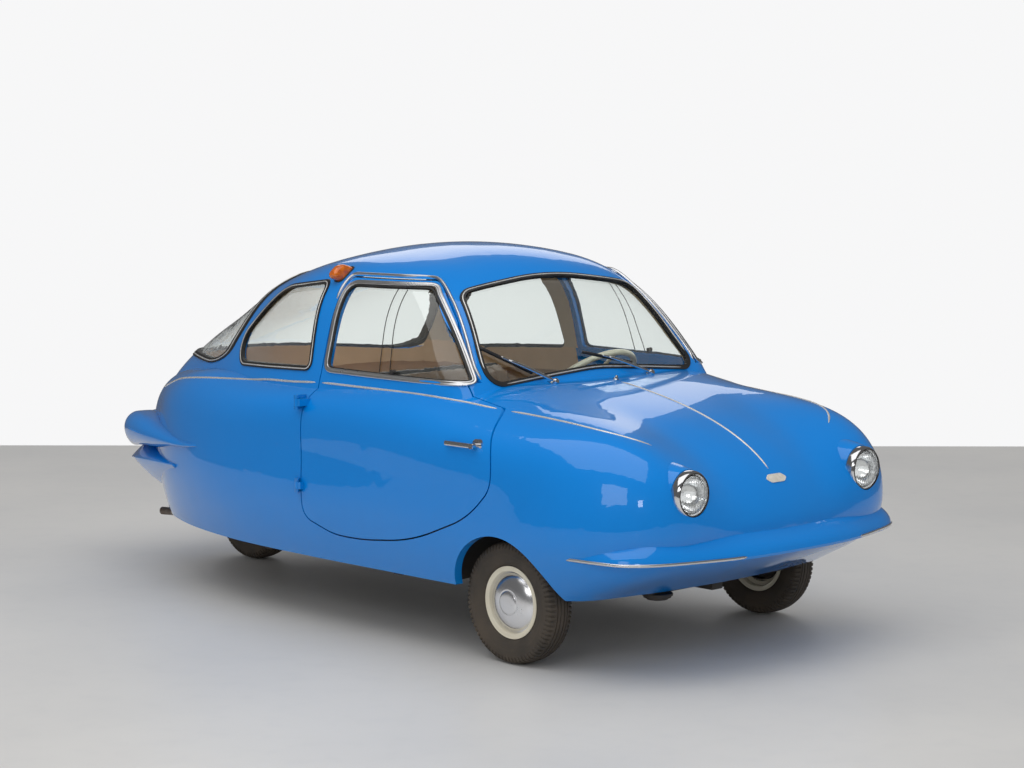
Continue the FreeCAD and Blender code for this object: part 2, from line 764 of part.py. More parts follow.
def rim():
    barrel = (
        (-37, 116), (-34, 116), (-33, 102), (-14, 102), (-10, 88), (10, 88), (14, 102), (33, 102), (34, 116),
        (37, 116), (37, 113), (35.5, 99), (16, 99), (12, 85), (-12, 85), (-16, 99), (-35.5, 99), (-37, 113),
    )
    disc = ((8, 86.5), (12, 86.5), (12, 60), (16, 50), (16, 20), (10, 20), (10, 48), (8, 58))
    drum = ((-20, DRUM_RADIUS - 5), (-20, DRUM_RADIUS), (9, DRUM_RADIUS), (9, DRUM_RADIUS - 5))
    hub = Part.makeCylinder(24, 35, V(-19, 0, 0), V(1, 0, 0))
    shape = fused(*[revolved(points) for points in (barrel, disc, drum)], hub)
    return shape.cut(Part.makeCylinder(AXLE_RADIUS + RUNNING_FIT, 80, V(-40, 0, 0), V(1, 0, 0)))


def hub_cap():
    """A thin domed cap, part of a sphere, with a rim that grips inside the wheel."""
    base, thick = 20.0, 2.0
    crown = CAP_HEIGHT - thick
    ball = (CAP_RADIUS ** 2 + crown ** 2) / (2 * crown)
    middle = base + CAP_HEIGHT - ball
    dome = Part.makeSphere(ball, V(middle, 0, 0)).cut(Part.makeSphere(ball - thick, V(middle, 0, 0)))
    dome = dome.common(Part.makeCylinder(CAP_RADIUS, CAP_HEIGHT, V(base + thick, 0, 0), V(1, 0, 0)))
    edge = Part.makeCylinder(RIM_RADIUS - RIM_METAL - FIT, thick, V(base, 0, 0), V(1, 0, 0))
    edge = edge.cut(Part.makeCylinder(CAP_RADIUS - 2 * thick, thick, V(base, 0, 0), V(1, 0, 0)))
    return dome.fuse(edge).removeSplitter()


one_tyre, one_rim, one_cap = tyre(), rim(), hub_cap()
for name, shape in (("tyre", one_tyre), ("rim", one_rim), ("hub_cap", one_cap)):
    left = placed(shape, TRACK / 2, 0, HUB_Z)
    write(name + "_front_left", left)
    write(name + "_front_right", mirrored(left))
write("tyre_rear", placed(one_tyre, 0, WHEELBASE, HUB_Z))
write("rim_rear", placed(mirrored(one_rim), 0, WHEELBASE, HUB_Z))


def knuckle():
    """The left steering knuckle: kingpin through both spring eyes, and under them the stub axle, plate and arm."""
    foot, low, high = EYE_LOW_Z[0] - FIT, EYE_LOW_Z[1] + FIT, EYE_HIGH_Z[0] - FIT
    pin = Part.makeCylinder(KINGPIN_RADIUS, EYE_HIGH_Z[1] + 6 - CARRIER_LOW_Z, V(KINGPIN_X, 0, CARRIER_LOW_Z))
    upright = Part.makeCylinder(15, high - low, V(KINGPIN_X, 0, low))
    carrier = Part.makeCylinder(17, foot - CARRIER_LOW_Z, V(KINGPIN_X, 0, CARRIER_LOW_Z))
    stub_end = TRACK / 2 + 16 + FIT
    stub = Part.makeCylinder(AXLE_RADIUS, stub_end - KINGPIN_X + 2, V(KINGPIN_X, 0, HUB_Z), V(1, 0, 0))
    nut = Part.makeCylinder(14, 8, V(stub_end, 0, HUB_Z), V(1, 0, 0))
    plate = Part.makeCylinder(46, 3, V(KINGPIN_X + EYE_RADIUS + 3.5, 0, HUB_Z), V(1, 0, 0))
    arm_low = ROD_Z + 12
    arm = slab(KINGPIN_X - 8, KINGPIN_X + 8, 0, STEERING_ARM + 9, arm_low, arm_low + 8)
    ball = Part.makeCylinder(STEERING_BALL, arm_low + 2 - ROD_Z + 14, V(KINGPIN_X, STEERING_ARM, ROD_Z - 14))
    return fused(pin, upright, carrier, stub, nut, plate, arm, ball)


left_knuckle = knuckle()
write("knuckle_left", left_knuckle)
write("knuckle_right", mirrored(left_knuckle))


def axle_beam():
    """Two flat leaf springs across the car, clamped in the middle, with an eye at each kingpin."""
    parts = [slab(-55, 55, -30, 30, CHASSIS_LOW_Z, EYE_HIGH_Z[1])]
    for low, high in (EYE_LOW_Z, EYE_HIGH_Z):
        parts.append(slab(-KINGPIN_X, KINGPIN_X, -LEAF_HALF, LEAF_HALF, low + 2, high - 2).cut(
            [slab(side * KINGPIN_X - 14, side * KINGPIN_X + 14, -30, 30, low, high) for side in (-1, 1)]))
        for side in (-1, 1):
            parts.append(Part.makeCylinder(EYE_RADIUS, high - low, V(side * KINGPIN_X, 0, low)))
    beam = fused(*parts)
    pins = [Part.makeCylinder(KINGPIN_RADIUS + RUNNING_FIT, 300, V(side * KINGPIN_X, 0, 50)) for side in (-1, 1)]
    return beam.cut(pins)


write("front_axle", axle_beam())

rod = tube(V(-KINGPIN_X + 14, STEERING_ARM, ROD_Z), V(KINGPIN_X - 14, STEERING_ARM, ROD_Z), ROD_RADIUS)
eyes, holes = [], []
for side in (-1, 1):
    middle = V(side * KINGPIN_X, STEERING_ARM, ROD_Z)
    eyes.append(Part.makeCylinder(STEERING_BALL + STEERING_SLACK + 4.5, 14, middle - V(0, 0, 7)))
    holes.append(Part.makeCylinder(STEERING_BALL + STEERING_SLACK, 40, middle - V(0, 0, 20)))
write("tie_rod", fused(rod, *eyes).cut(holes))

# Chassis: a backbone box, the nose carrier, cross members and the engine's two bearers
BACKBONE = 40.0
CHASSIS_END = 1700.0
NOSE_BAR_Z = 222.0
floor_under = FLOOR_TOP - FLOOR_THICK
chassis = [
    slab(-BACKBONE, BACKBONE, 30 + FIT, CHASSIS_END, CHASSIS_LOW_Z, floor_under),
    slab(55 + FIT, 66, -60, 60, CHASSIS_LOW_Z, floor_under),
    slab(-66, -55 - FIT, -60, 60, CHASSIS_LOW_Z, floor_under),
    slab(-66, 66, 50, 60, CHASSIS_LOW_Z, floor_under),
    slab(-66, 66, -60, -50, CHASSIS_LOW_Z, floor_under),
    slab(-25, 25, -310, -30 - FIT, 200, GROUND_CLEARANCE - FIT),
    slab(-330, 330, -310, -270, NOSE_BAR_Z, GROUND_CLEARANCE - FIT),
    slab(-560, 560, 600, 640, 196, floor_under),
    slab(-560, 560, 1300, 1340, 196, floor_under),
    slab(-420, 420, CHASSIS_END - 40, CHASSIS_END, CHASSIS_LOW_Z, floor_under),
    slab(130, 155, CHASSIS_END, 2080, 225, 250),
    slab(350, 375, CHASSIS_END, 2080, 225, 250),
]
guide = slab(-45, 45, 50, STEERING_ARM + 14, ROD_Z - 13, CHASSIS_LOW_Z + 10)
rod_bore = tube(V(-80, STEERING_ARM, ROD_Z), V(80, STEERING_ARM, ROD_Z), ROD_RADIUS + RUNNING_FIT)
leaf_slot = slab(-80, 80, -LEAF_HALF - FIT, LEAF_HALF + FIT, EYE_LOW_Z[0], floor_under)
write("chassis_frame", fused(guide, *chassis).cut([rod_bore, leaf_slot]))

TOE_Y = 45.0
house = Part.makeCylinder(HOUSE_RADIUS, 700 - HOUSE_INNER_X, V(HOUSE_INNER_X, 0, HUB_Z), V(1, 0, 0))
house_out = Part.makeCylinder(HOUSE_RADIUS + HOUSE_METAL, 700 - HOUSE_INNER_X + HOUSE_METAL,
                              V(HOUSE_INNER_X - HOUSE_METAL, 0, HUB_Z), V(1, 0, 0))
slot = slab(HOUSE_INNER_X - 20, HOUSE_INNER_X + 20, -35, 90, 100, 300)
wheelhouse = house_out.cut([house, slot]).common(fit_in).common(slab(0, 900, -300, 300, floor_under, 600))
write("front_wheelhouses", Part.makeCompound([wheelhouse, mirrored(wheelhouse)]))
house_room = Part.makeCylinder(HOUSE_RADIUS + HOUSE_METAL + FIT, 400, V(HOUSE_INNER_X - HOUSE_METAL - FIT, 0, HUB_Z), V(1, 0, 0))
floor = slab(-760, 760, TOE_Y, CHASSIS_END, floor_under, FLOOR_TOP)
floor = floor.fuse([slab(-760, 760, TOE_Y, TOE_Y + FLOOR_THICK, floor_under, 490),
                    slab(-600, 600, TOE_Y, TOE_Y + FLOOR_THICK, floor_under, 690)]).common(fit_in)
floor = floor.cut([house_room, mirrored(house_room)])
print("floor solids", len(floor.Solids))
floor = max(floor.Solids, key=lambda piece: piece.Volume)
write("floor_pan", floor)

SHELF_Z = 640.0
BULKHEAD_Y = 1345.0
bulkhead = slab(-760, 760, BULKHEAD_Y, BULKHEAD_Y + 6, FLOOR_TOP, SHELF_Z)
shelf = slab(-760, 760, BULKHEAD_Y, 2250, SHELF_Z, SHELF_Z + 6)
# Its outline is that of the hull a little higher, so that a flat load lies on it clear of the walls
SHELF_ROOM = 40.0
shelf = shelf.common(placed(fit_in, 0, 0, -SHELF_ROOM))
write("rear_shelf", bulkhead.fuse(shelf).common(fit_in).removeSplitter())

arm_tubes = []
for side in (-1, 1):
    arm_tubes.append(bent_tube([V(side * 84, CHASSIS_END + 20, 228), V(side * 84, 1900, 228), V(side * 84, WHEELBASE + 14, HUB_Z)], 15, 120))
pivot = tube(V(-110, CHASSIS_END + 20, 228), V(110, CHASSIS_END + 20, 228), 20)
rear_axle = tube(V(-104, WHEELBASE, HUB_Z), V(104, WHEELBASE, HUB_Z), AXLE_RADIUS)
write("rear_swing_arm", fused(pivot, rear_axle, *arm_tubes))
write("engine_block", slab(115, 395, 1760, 2080, 250, 560))

silencer = tube(V(-320, 1830, 262), V(-320, 2110, 262), 48)
tail_pipe = bent_tube([V(-320, 2080, 229), V(-320, 2140, 209), V(-330, 2278, 202)], 15, 60)
down_pipe = bent_tube([V(115 - FIT, 1800, 300), V(60, 1800, 300), V(-200, 1800, 262),
                       V(-320, 1800, 262), V(-320, 1850, 262)], 15, 30)
write("exhaust", fused(silencer, tail_pipe, down_pipe))

# Lamps: a bucket with a deep bowl, a rounded bezel ring and a hollow domed lens that sits on a ledge
BEZEL_RADIUS = 74.0
LENS_RADIUS = 64.0
BOWL_RADIUS = 58.0
BOWL_DEPTH = 70.0
LENS_BALL = 150.0
LENS_THICK = 5.0


def lamp_disc(radius, front, back):
    return tube(V(LAMP.x, LAMP.y + front, LAMP.z), V(LAMP.x, LAMP.y + back, LAMP.z), radius)


bezel = lamp_disc(BUCKET_RADIUS, 3, BOWL_DEPTH + 40).fuse(lamp_disc(BEZEL_RADIUS, -8, 60))
bezel = bezel.cut([lamp_disc(LENS_RADIUS, -20, 10), lamp_disc(BOWL_RADIUS, 0, BOWL_DEPTH)]).cut(body)
bezel = max(bezel.Solids, key=lambda piece: piece.Volume)
write("headlamp_left", bezel)
write("headlamp_right", mirrored(bezel))
dome = V(LAMP.x, LAMP.y - 24 + LENS_BALL, LAMP.z)
lens = lamp_disc(LENS_RADIUS - FIT, -30, 10 - FIT).common(Part.makeSphere(LENS_BALL, dome))
lens = lens.cut(Part.makeSphere(LENS_BALL - LENS_THICK, dome).common(lamp_disc(BOWL_RADIUS - 1, -30, 20)))
write("headlamp_lens_left", lens)
write("headlamp_lens_right", mirrored(lens))


def on_skin(x, z, way, start_y):
    return reach(whole_field, V(0, start_y, z) + V(x, 0, 0), way)


TAIL_LAMP_RADIUS = 27.0
tail_at = on_skin(192, 684, V(0, 1, 0), 1900)
tail_way = V(0, 0.8, 0.6)
tail_lamp = tube(tail_at - tail_way * 20, tail_at + tail_way * 22, TAIL_LAMP_RADIUS).cut(outside)
write("tail_lamps", Part.makeCompound([tail_lamp, mirrored(tail_lamp)]))

INDICATOR_Y = 985.0
way = V(-490, 0, 190).normalize()
root = reach(whole_field, V(0, INDICATOR_Y, 1000), way)
along = V(0, 1, 0)
across = way.cross(along)


def indicator_ring(size_y, size_z, lift):
    return Part.makePolygon([root + way * lift + along * (a * size_y) + across * (b * size_z)
                             for a, b in ((-1, -1), (1, -1), (1, 1), (-1, 1), (-1, -1))])


INDICATOR_RINGS = ((21, 31, -14), (21, 31, 10), (14, 24, 36))
indicator = Part.makeLoft([indicator_ring(*sizes) for sizes in INDICATOR_RINGS], True, True)
indicator = indicator.cut(outer_hull)
indicator = max(indicator.Solids, key=lambda piece: piece.Volume)
write("indicators", Part.makeCompound([indicator, mirrored(indicator)]))

# Inside: dashboard, steering, seats and pedals
DASH_HALF = 600.0
DOOR_ROOM = 6.0
door_clear = lower_solid(BODY_WALL + DOOR_ROOM, 150).fuse(cabin_solid(CABIN_WALL + DOOR_ROOM, CABIN_FOOT - 10))
dash = slab(-DASH_HALF, DASH_HALF, 262, 330, 690, 836).common(door_clear)
write("dashboard", max(dash.Solids, key=lambda piece: piece.Volume))
WHEEL_MIDDLE = V(300, 575, 785)
COLUMN = V(0, 0.64, 0.768).normalize()
column = tube(WHEEL_MIDDLE - COLUMN * 24, WHEEL_MIDDLE - COLUMN * 600, 14, 9 + RUNNING_FIT)
box = slab(262, 338, 118, 218, FLOOR_TOP, 330)
bracket = slab(290, 310, 330 + FIT, 505, 690, 712)
column = fused(column, box, bracket).cut(tube(WHEEL_MIDDLE, WHEEL_MIDDLE - COLUMN * 200, 9 + RUNNING_FIT))
write("steering_column", column)


def steering_wheel():
    ring = Part.makeTorus(185, 11, WHEEL_MIDDLE, COLUMN)
    hub = tube(WHEEL_MIDDLE - COLUMN * (24 - FIT), WHEEL_MIDDLE + COLUMN * 12, 26)
    shaft = tube(WHEEL_MIDDLE, WHEEL_MIDDLE - COLUMN * 140, 9)
    spokes = []
    side = V(1, 0, 0)
    forth = COLUMN.cross(side)
    for angle in (0, 180, 270):
        turn = math.radians(angle)
        out = side * math.cos(turn) + forth * math.sin(turn)
        spokes.append(tube(WHEEL_MIDDLE, WHEEL_MIDDLE + out * 185, 7))
    return fused(ring, hub, shaft, *spokes)


write("steering_wheel", steering_wheel())


def profile(points, x_half, fillet):
    block = face_of([V(-x_half, y, z) for y, z in points]).extrude(V(2 * x_half, 0, 0))
    return block.makeFillet(fillet, block.Edges)


SEAT_HALF = 520.0
base = slab(-SEAT_HALF + 30, SEAT_HALF - 30, 640, 1110, FLOOR_TOP, 300)
back = face_of([V(-SEAT_HALF + 30, 1110, FLOOR_TOP), V(-SEAT_HALF + 30, 1130, FLOOR_TOP), V(-SEAT_HALF + 30, 1262, 800),
                V(-SEAT_HALF + 30, 1242, 800), V(-SEAT_HALF + 30, 1110, 300)]).extrude(V(2 * SEAT_HALF - 60, 0, 0))
write("seat_frame", fused(base, back))
write("seat_cushion", profile(((600, 300 + FIT), (1100, 300 + FIT), (1112, 420), (600, 450)), SEAT_HALF, 28))
SEAT_LEAN = (1242 - 1110) / 500


def back_y(z, off):
    """The y of the seat back's front at a height, less a distance."""
    return 1110 + (z - 300) * SEAT_LEAN - off


backrest = [(back_y(z, off), z) for z, off in ((440, 100), (440, 0.35), (830, 0.35), (830, 76))]
write("seat_backrest", profile(backrest, SEAT_HALF, 24))

pedals = []
for x in (150, 230, 385):
    arm = tube(V(x, TOE_Y + FLOOR_THICK, 420), V(x, 150, 330), 6)
    pad = slab(x - 24, x + 24, 144, 152, 300, 350)
    pedals.append(fused(arm, pad).cut(floor))
write("pedals", Part.makeCompound(pedals))
lever = tube(V(0, 520, FLOOR_TOP), V(0, 500, 520), 6)
lever = lever.fuse([Part.makeSphere(18, V(0, 500, 525)), Part.makeCylinder(24, 20, V(0, 520, FLOOR_TOP))])
write("gear_lever", lever.cut(floor))
write("horn", Part.makeCylinder(50, 24, V(-265, -290, NOSE_BAR_Z - FIT - 24)))


def wiper(pivot, low, high):
    """A wiper on the glass: pivot on the cowl, arm and blade. Places are x and height along the glass."""
    lean = math.atan(SCREEN_RAKE)
    up = V(0, math.sin(lean), math.cos(lean))
    out = V(0, -math.cos(lean), math.sin(lean))

    def place(x, h, lift):
        return V(x, SCREEN_Y + SCREEN_BOW * x * x, SCREEN_Z) + up * h + out * lift

    post = tube(place(pivot[0], pivot[1], -20), place(pivot[0], pivot[1], 18), 9)
    middle = ((low[0] + high[0]) / 2, (low[1] + high[1]) / 2)
    arm = tube(place(pivot[0], pivot[1], 14), place(middle[0], middle[1], 14), 3.5)
    blade = tube(place(low[0], low[1], 12), place(high[0], high[1], 12), 4)
    link = tube(place(middle[0], middle[1], 8), place(middle[0], middle[1], 18), 5)
    return fused(post, arm, blade, link).cut([outer_hull, screen_rubber])


write("wiper_right", max(wiper((-240, -22), (-301, 28), (-465, 136)).Solids, key=lambda piece: piece.Volume))
write("wiper_left", max(wiper((222, -22), (170, 34), (-37, 91)).Solids, key=lambda piece: piece.Volume))
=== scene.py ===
import bpy
import bmesh
import math
import numpy as np
from mathutils import Matrix, Vector
from mathutils.bvhtree import BVHTree


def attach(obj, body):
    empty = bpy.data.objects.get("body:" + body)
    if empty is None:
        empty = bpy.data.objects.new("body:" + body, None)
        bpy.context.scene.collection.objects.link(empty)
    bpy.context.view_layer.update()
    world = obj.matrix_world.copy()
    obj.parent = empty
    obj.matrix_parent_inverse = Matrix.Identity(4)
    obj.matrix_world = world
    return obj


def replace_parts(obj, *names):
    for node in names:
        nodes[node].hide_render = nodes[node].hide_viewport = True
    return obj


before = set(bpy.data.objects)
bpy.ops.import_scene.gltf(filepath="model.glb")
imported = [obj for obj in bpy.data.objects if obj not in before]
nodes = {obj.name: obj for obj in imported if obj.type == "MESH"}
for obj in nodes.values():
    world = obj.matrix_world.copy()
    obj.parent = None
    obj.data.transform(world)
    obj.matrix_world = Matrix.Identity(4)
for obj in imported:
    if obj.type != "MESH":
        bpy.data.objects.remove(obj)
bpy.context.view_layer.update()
print("frame loaded:", len(nodes), "nodes")

# Places below are in millimetres, counted from the front axle at the ground, nose towards -y
frontAxleY = 907.0


def toFrame(points):
    return (np.asarray(points, float).reshape(-1, 3) - (0, frontAxleY, 0)) / 1000


# The body's form, as tables: the trims and rubbers below are laid on it
form = {
    "side": np.array([
        (-700, 560, 480, 500, 640), (-500, 655, 480, 590, 690), (-300, 697, 490, 625, 735),
        (0, 722, 510, 655, 795), (400, 730, 520, 688, 838), (850, 730, 520, 685, 846),
        (1300, 712, 520, 650, 838), (1650, 655, 520, 595, 808), (1950, 555, 520, 505, 755),
        (2200, 411, 510, 371, 700), (2450, 264, 500, 234, 640)], float),
    "top": np.array([
        (-700, 540, 70, 470), (-546, 632, 82, 482), (-461, 676, 68, 492), (-253, 757, 18, 522),
        (0, 823, -16, 560), (150, 852, -8, 600), (260, 872, 0, 660), (900, 860, 0, 660), (1650, 822, 0, 600),
        (2100, 775, 0, 450), (2300, 712, 0, 350), (2450, 625, 0, 300)], float),
    "ends": np.array([
        (100, -150, 2150), (232, -350, 2250), (300, -480, 2300), (350, -560, 2345), (400, -600, 2385),
        (450, -611, 2415), (520, -600, 2445), (600, -570, 2450), (700, -520, 2420), (800, -460, 2350),
        (900, -400, 2250)], float),
    "roof": np.array([
        (300, 1130), (476, 1208), (600, 1255), (750, 1284), (900, 1288), (1100, 1271), (1350, 1215),
        (1600, 1135), (1850, 1027), (2100, 919), (2290, 801), (2345, 751), (2372, 660), (2386, 455)], float),
    "cabin": np.array([
        (100, 560, 470), (250, 595, 492), (500, 628, 532), (900, 640, 556), (1200, 610, 525), (1475, 546, 442),
        (1800, 428, 284), (2050, 321, 170), (2300, 215, 75), (2450, 110, 20)], float),
    "screenY": 222.0, "screenZ": 858.0, "screenRake": 0.726, "screenBow": 1.0e-4,
    "pod": (40.0, 455.0, 630.0, 125.0, 160.0),
}


def curve(table, at):
    # every column of a table at given places, by monotone cubics
    xs = table[:, 0]
    k = np.clip(np.searchsorted(xs, at, side="right") - 1, 0, len(xs) - 2)
    gap = xs[k + 1] - xs[k]
    u = (at - xs[k]) / gap
    s = 1 - u
    columns = []
    for v in table.T[1:]:
        h, d = np.diff(xs), np.diff(v) / np.diff(xs)
        m = np.zeros(len(v))
        m[0], m[-1] = d[0], d[-1]
        for i in range(1, len(v) - 1):
            if d[i - 1] * d[i] > 0:
                wa, wb = 2 * h[i] + h[i - 1], h[i] + 2 * h[i - 1]
                m[i] = (wa + wb) / (wa / d[i - 1] + wb / d[i])
        a, b, ma, mb = v[k], v[k + 1], m[k] * gap, m[k + 1] * gap
        inside = a * s * s * (1 + 2 * u) + ma * u * s * s + b * u * u * (1 + 2 * s) - mb * u * u * s
        columns.append(np.where(u < 0, a + ma * u, np.where(u > 1, b + mb * (u - 1), inside)))
    return columns


def rounder(a, b, radius):
    near = np.maximum(radius - np.abs(a - b), 0) / radius
    return np.maximum(a, b) + near * near * radius / 4


def lowerField(p):
    x, y, z = np.abs(p[:, 0]), p[:, 1], p[:, 2]
    waist, waistZ, belt, beltZ = curve(form["side"], y)
    deck, rise, crest = curve(form["top"], y)
    noseY, tailY = curve(form["ends"], z)
    above = np.clip((z - waistZ) / np.maximum(beltZ - waistZ, 1), 0, 2)
    below = np.clip((waistZ - z) / (waistZ - 232), 0, 2)
    half = waist - (waist - belt) * above ** 2.2 - 52 * below ** 2.4
    wing = np.exp(-((x - crest) / 125) ** 2) - np.exp(-(crest / 125) ** 2)
    body = rounder((x - half) * 0.98, (z - deck - rise * wing + 4.5e-5 * x * x) * 0.93, 90)
    pod, podX, podZ, podWide, podHigh = form["pod"]
    pod = pod * np.exp(-((x - podX) / podWide) ** 2 - ((z - podZ) / podHigh) ** 2)
    body = rounder(body, noseY + 2.0e-4 * x * x - pod - y, 150)
    return rounder(body, y - tailY, 200)


def cabinField(p):
    x, y, z = np.abs(p[:, 0]), p[:, 1], p[:, 2]
    sill, cant = curve(form["cabin"], y)
    half = sill + (cant - sill) * (z - 850) / 315
    roof = (z - curve(form["roof"], y)[0] + 3.2e-4 * x * x) * 0.95
    screenAt = form["screenY"] + form["screenRake"] * (z - form["screenZ"]) + form["screenBow"] * x * x
    screen = (screenAt - y) * 0.81
    return rounder(rounder((x - half) * 0.9, roof, 150), screen, 70)


def wholeField(p):
    return np.minimum(lowerField(p), cabinField(p))


def onSkin(points, way, field=wholeField, lift=0.0, reach=260.0):
    # where lines through the points along a direction come out of the form
    p = np.asarray(points, float).reshape(-1, 3)
    way = np.asarray(way, float) / np.linalg.norm(way)
    near, far = np.full(len(p), -reach), np.full(len(p), reach)
    for step in range(30):
        middle = (near + far) / 2
        inside = field(p + way * middle[:, None]) < lift
        near, far = np.where(inside, middle, near), np.where(inside, far, middle)
    return p + way * near[:, None]


def outwards(p, field=wholeField):
    p = np.asarray(p, float).reshape(-1, 3)
    step = np.eye(3) * 1.5
    slope = np.stack([field(p + e) - field(p - e) for e in step], 1)
    return slope / np.linalg.norm(slope, axis=1)[:, None]


def grown(rows, grow):
    # a flat outline of (a, b, radius) with every edge moved outwards
    count = len(rows)
    area = sum(rows[i - 1][0] * rows[i][1] - rows[i][0] * rows[i - 1][1] for i in range(count))
    hand = 1 if area > 0 else -1
    result = []
    for i in range(count):
        a, b, radius = rows[i]
        u = np.array((a - rows[i - 1][0], b - rows[i - 1][1]))
        w = np.array((rows[(i + 1) % count][0] - a, rows[(i + 1) % count][1] - b))
        u, w = u / np.linalg.norm(u), w / np.linalg.norm(w)
        turn = (u[0] * w[1] - u[1] * w[0]) * hand
        n = np.array(((u[1] + w[1]) * hand, -(u[0] + w[0]) * hand))
        scale = grow * 2 / n.dot(n)
        result.append((a + n[0] * scale, b + n[1] * scale, max(radius + (grow if turn > 0 else -grow), 2)))
    return result


def outline(rows, spacing=9.0):
    # points along a closed outline whose corners are rounded by their radii
    count = len(rows)
    corners = [np.array(row[:2], float) for row in rows]
    legs, halves, cuts = [], [], []
    for i in range(count):
        u, w = corners[i - 1] - corners[i], corners[(i + 1) % count] - corners[i]
        u, w = u / np.linalg.norm(u), w / np.linalg.norm(w)
        half = math.acos(max(-1, min(1, u.dot(w)))) / 2
        legs.append((u, w))
        halves.append(half)
        cuts.append(rows[i][2] / math.tan(half))
    room = [np.linalg.norm(corners[(i + 1) % count] - corners[i]) * 0.98 / (cuts[i] + cuts[(i + 1) % count])
            for i in range(count)]
    points = []
    for i in range(count):
        share = min(1.0, room[i - 1], room[i])
        radius, cut = rows[i][2] * share, cuts[i] * share
        u, w = legs[i]
        start, end = corners[i] + u * cut, corners[i] + w * cut
        middle = corners[i] + (u + w) / np.linalg.norm(u + w) * radius / math.sin(halves[i])
        a0 = math.atan2(*(start - middle)[::-1])
        a1 = math.atan2(*(end - middle)[::-1])
        sweepAngle = (a1 - a0 + math.pi) % (2 * math.pi) - math.pi
        steps = max(3, round(abs(sweepAngle) * radius / spacing))
        for k in range(steps + 1):
            angle = a0 + sweepAngle * k / steps
            points.append(middle + radius * np.array((math.cos(angle), math.sin(angle))))
    closed = np.array(points + [points[0]])
    length = np.concatenate([[0], np.cumsum(np.linalg.norm(np.diff(closed, axis=0), axis=1))])
    at = np.linspace(0, length[-1], max(12, round(length[-1] / spacing)), endpoint=False)
    return np.stack([np.interp(at, length, closed[:, k]) for k in (0, 1)], 1)


def addMesh(name, points, faces, material, body):
    mesh = bpy.data.meshes.new(name)
    mesh.from_pydata([tuple(p) for p in toFrame(points)], [], [tuple(int(i) for i in f) for f in faces])
    mesh.validate()
    mesh.polygons.foreach_set("use_smooth", [True] * len(mesh.polygons))
    piece = bpy.data.objects.new(name, mesh)
    bpy.context.scene.collection.objects.link(piece)
    bm = bmesh.new()
    bm.from_mesh(mesh)
    bmesh.ops.recalc_face_normals(bm, faces=bm.faces)
    bm.to_mesh(mesh)
    bm.free()
    piece.data.materials.append(material)
    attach(piece, body)
    return piece


def settled(points, way, *names, reach=45.0):
    # where lines along a direction meet CAD nodes from outside, and the skin's normals there
    trees = [BVHTree.FromObject(nodes[name], bpy.context.evaluated_depsgraph_get()) for name in names]
    way = np.asarray(way, float) / np.linalg.norm(way)
    places, normals = [], []
    for point, out in zip(np.asarray(points, float), outwards(points)):
        start = Vector(toFrame(point + way * reach)[0])
        hits = [tree.ray_cast(start, Vector(-way), 2 * reach / 1000) for tree in trees]
        hits = [hit for hit in hits if hit[0] is not None]
        if hits:
            best = min(hits, key=lambda hit: hit[3])
            point, out = np.array(best[0]) * 1000 + (0, frontAxleY, 0), np.array(best[1])
        places.append(point)
        normals.append(out)
    places, normals = np.array(places), np.array(normals)
    for step in range(12):
        places[1:-1] = (places[:-2] + 2 * places[1:-1] + places[2:]) / 4
        normals[1:-1] = (normals[:-2] + 2 * normals[1:-1] + normals[2:]) / 4
    return places, normals / np.linalg.norm(normals, axis=1)[:, None]


def sweepFaces(count, ring, closed):
    faces = []
    for i in range(count if closed else count - 1):
        j = (i + 1) % count
        for k in range(ring):
            m = (k + 1) % ring
            faces.append((i * ring + k, j * ring + k, j * ring + m, i * ring + m))
    if not closed:
        faces.append(tuple(range(ring)))
        faces.append(tuple((count - 1) * ring + k for k in range(ring)))
    return faces


def sweep(name, path, normals, section, material, body, closed=True, taper=0):
    # a section of (across, up) carried along a path that lies on a surface
    path, normals = np.asarray(path, float), np.asarray(normals, float)
    count = len(path)
    if closed:
        tangent = np.roll(path, -1, 0) - np.roll(path, 1, 0)
    else:
        tangent = np.gradient(path, axis=0)
    tangent /= np.linalg.norm(tangent, axis=1)[:, None]
    across = np.cross(normals, tangent)
    across /= np.linalg.norm(across, axis=1)[:, None]
    up = np.cross(tangent, across)
    size = np.ones(count)
    if taper:
        t = np.minimum(np.arange(count), np.arange(count)[::-1]) / taper
        size = np.sqrt(np.clip(t, 0.03, 1) * (2 - np.clip(t, 0.03, 1)))
    section = np.asarray(section, float)
    points = []
    for i in range(count):
        points += [path[i] + (across[i] * a + up[i] * b) * size[i] for a, b in section]
    return addMesh(name, points, sweepFaces(count, len(section), closed), material, body)


def arcSection(width, height, sink=1.0, steps=6):
    # a half-round strip section
    rows = [(width / 2 * math.cos(math.pi * k / steps), height * math.sin(math.pi * k / steps))
            for k in range(steps + 1)]
    return rows + [(-width / 2, -sink), (width / 2, -sink)]


def turned(name, profile, middle, material, body, steps=64, hand=1):
    # a closed profile of (along, radius) turned about the wheels' axis
    rings = []
    for k in range(steps):
        angle = 2 * math.pi * k / steps
        c, s = math.cos(angle), math.sin(angle)
        for along, radius in profile:
            rings.append((along * hand, radius * c, radius * s))
    points = np.array(rings) + middle
    return addMesh(name, points, sweepFaces(steps, len(profile), True), material, body)


def sharpen(piece, degrees):
    # smooth shading that keeps the edges sharper than an angle
    bpy.context.view_layer.objects.active = piece
    for other in bpy.context.selected_objects:
        other.select_set(False)
    piece.select_set(True)
    bpy.ops.object.shade_smooth_by_angle(angle=math.radians(degrees))
    piece.select_set(False)


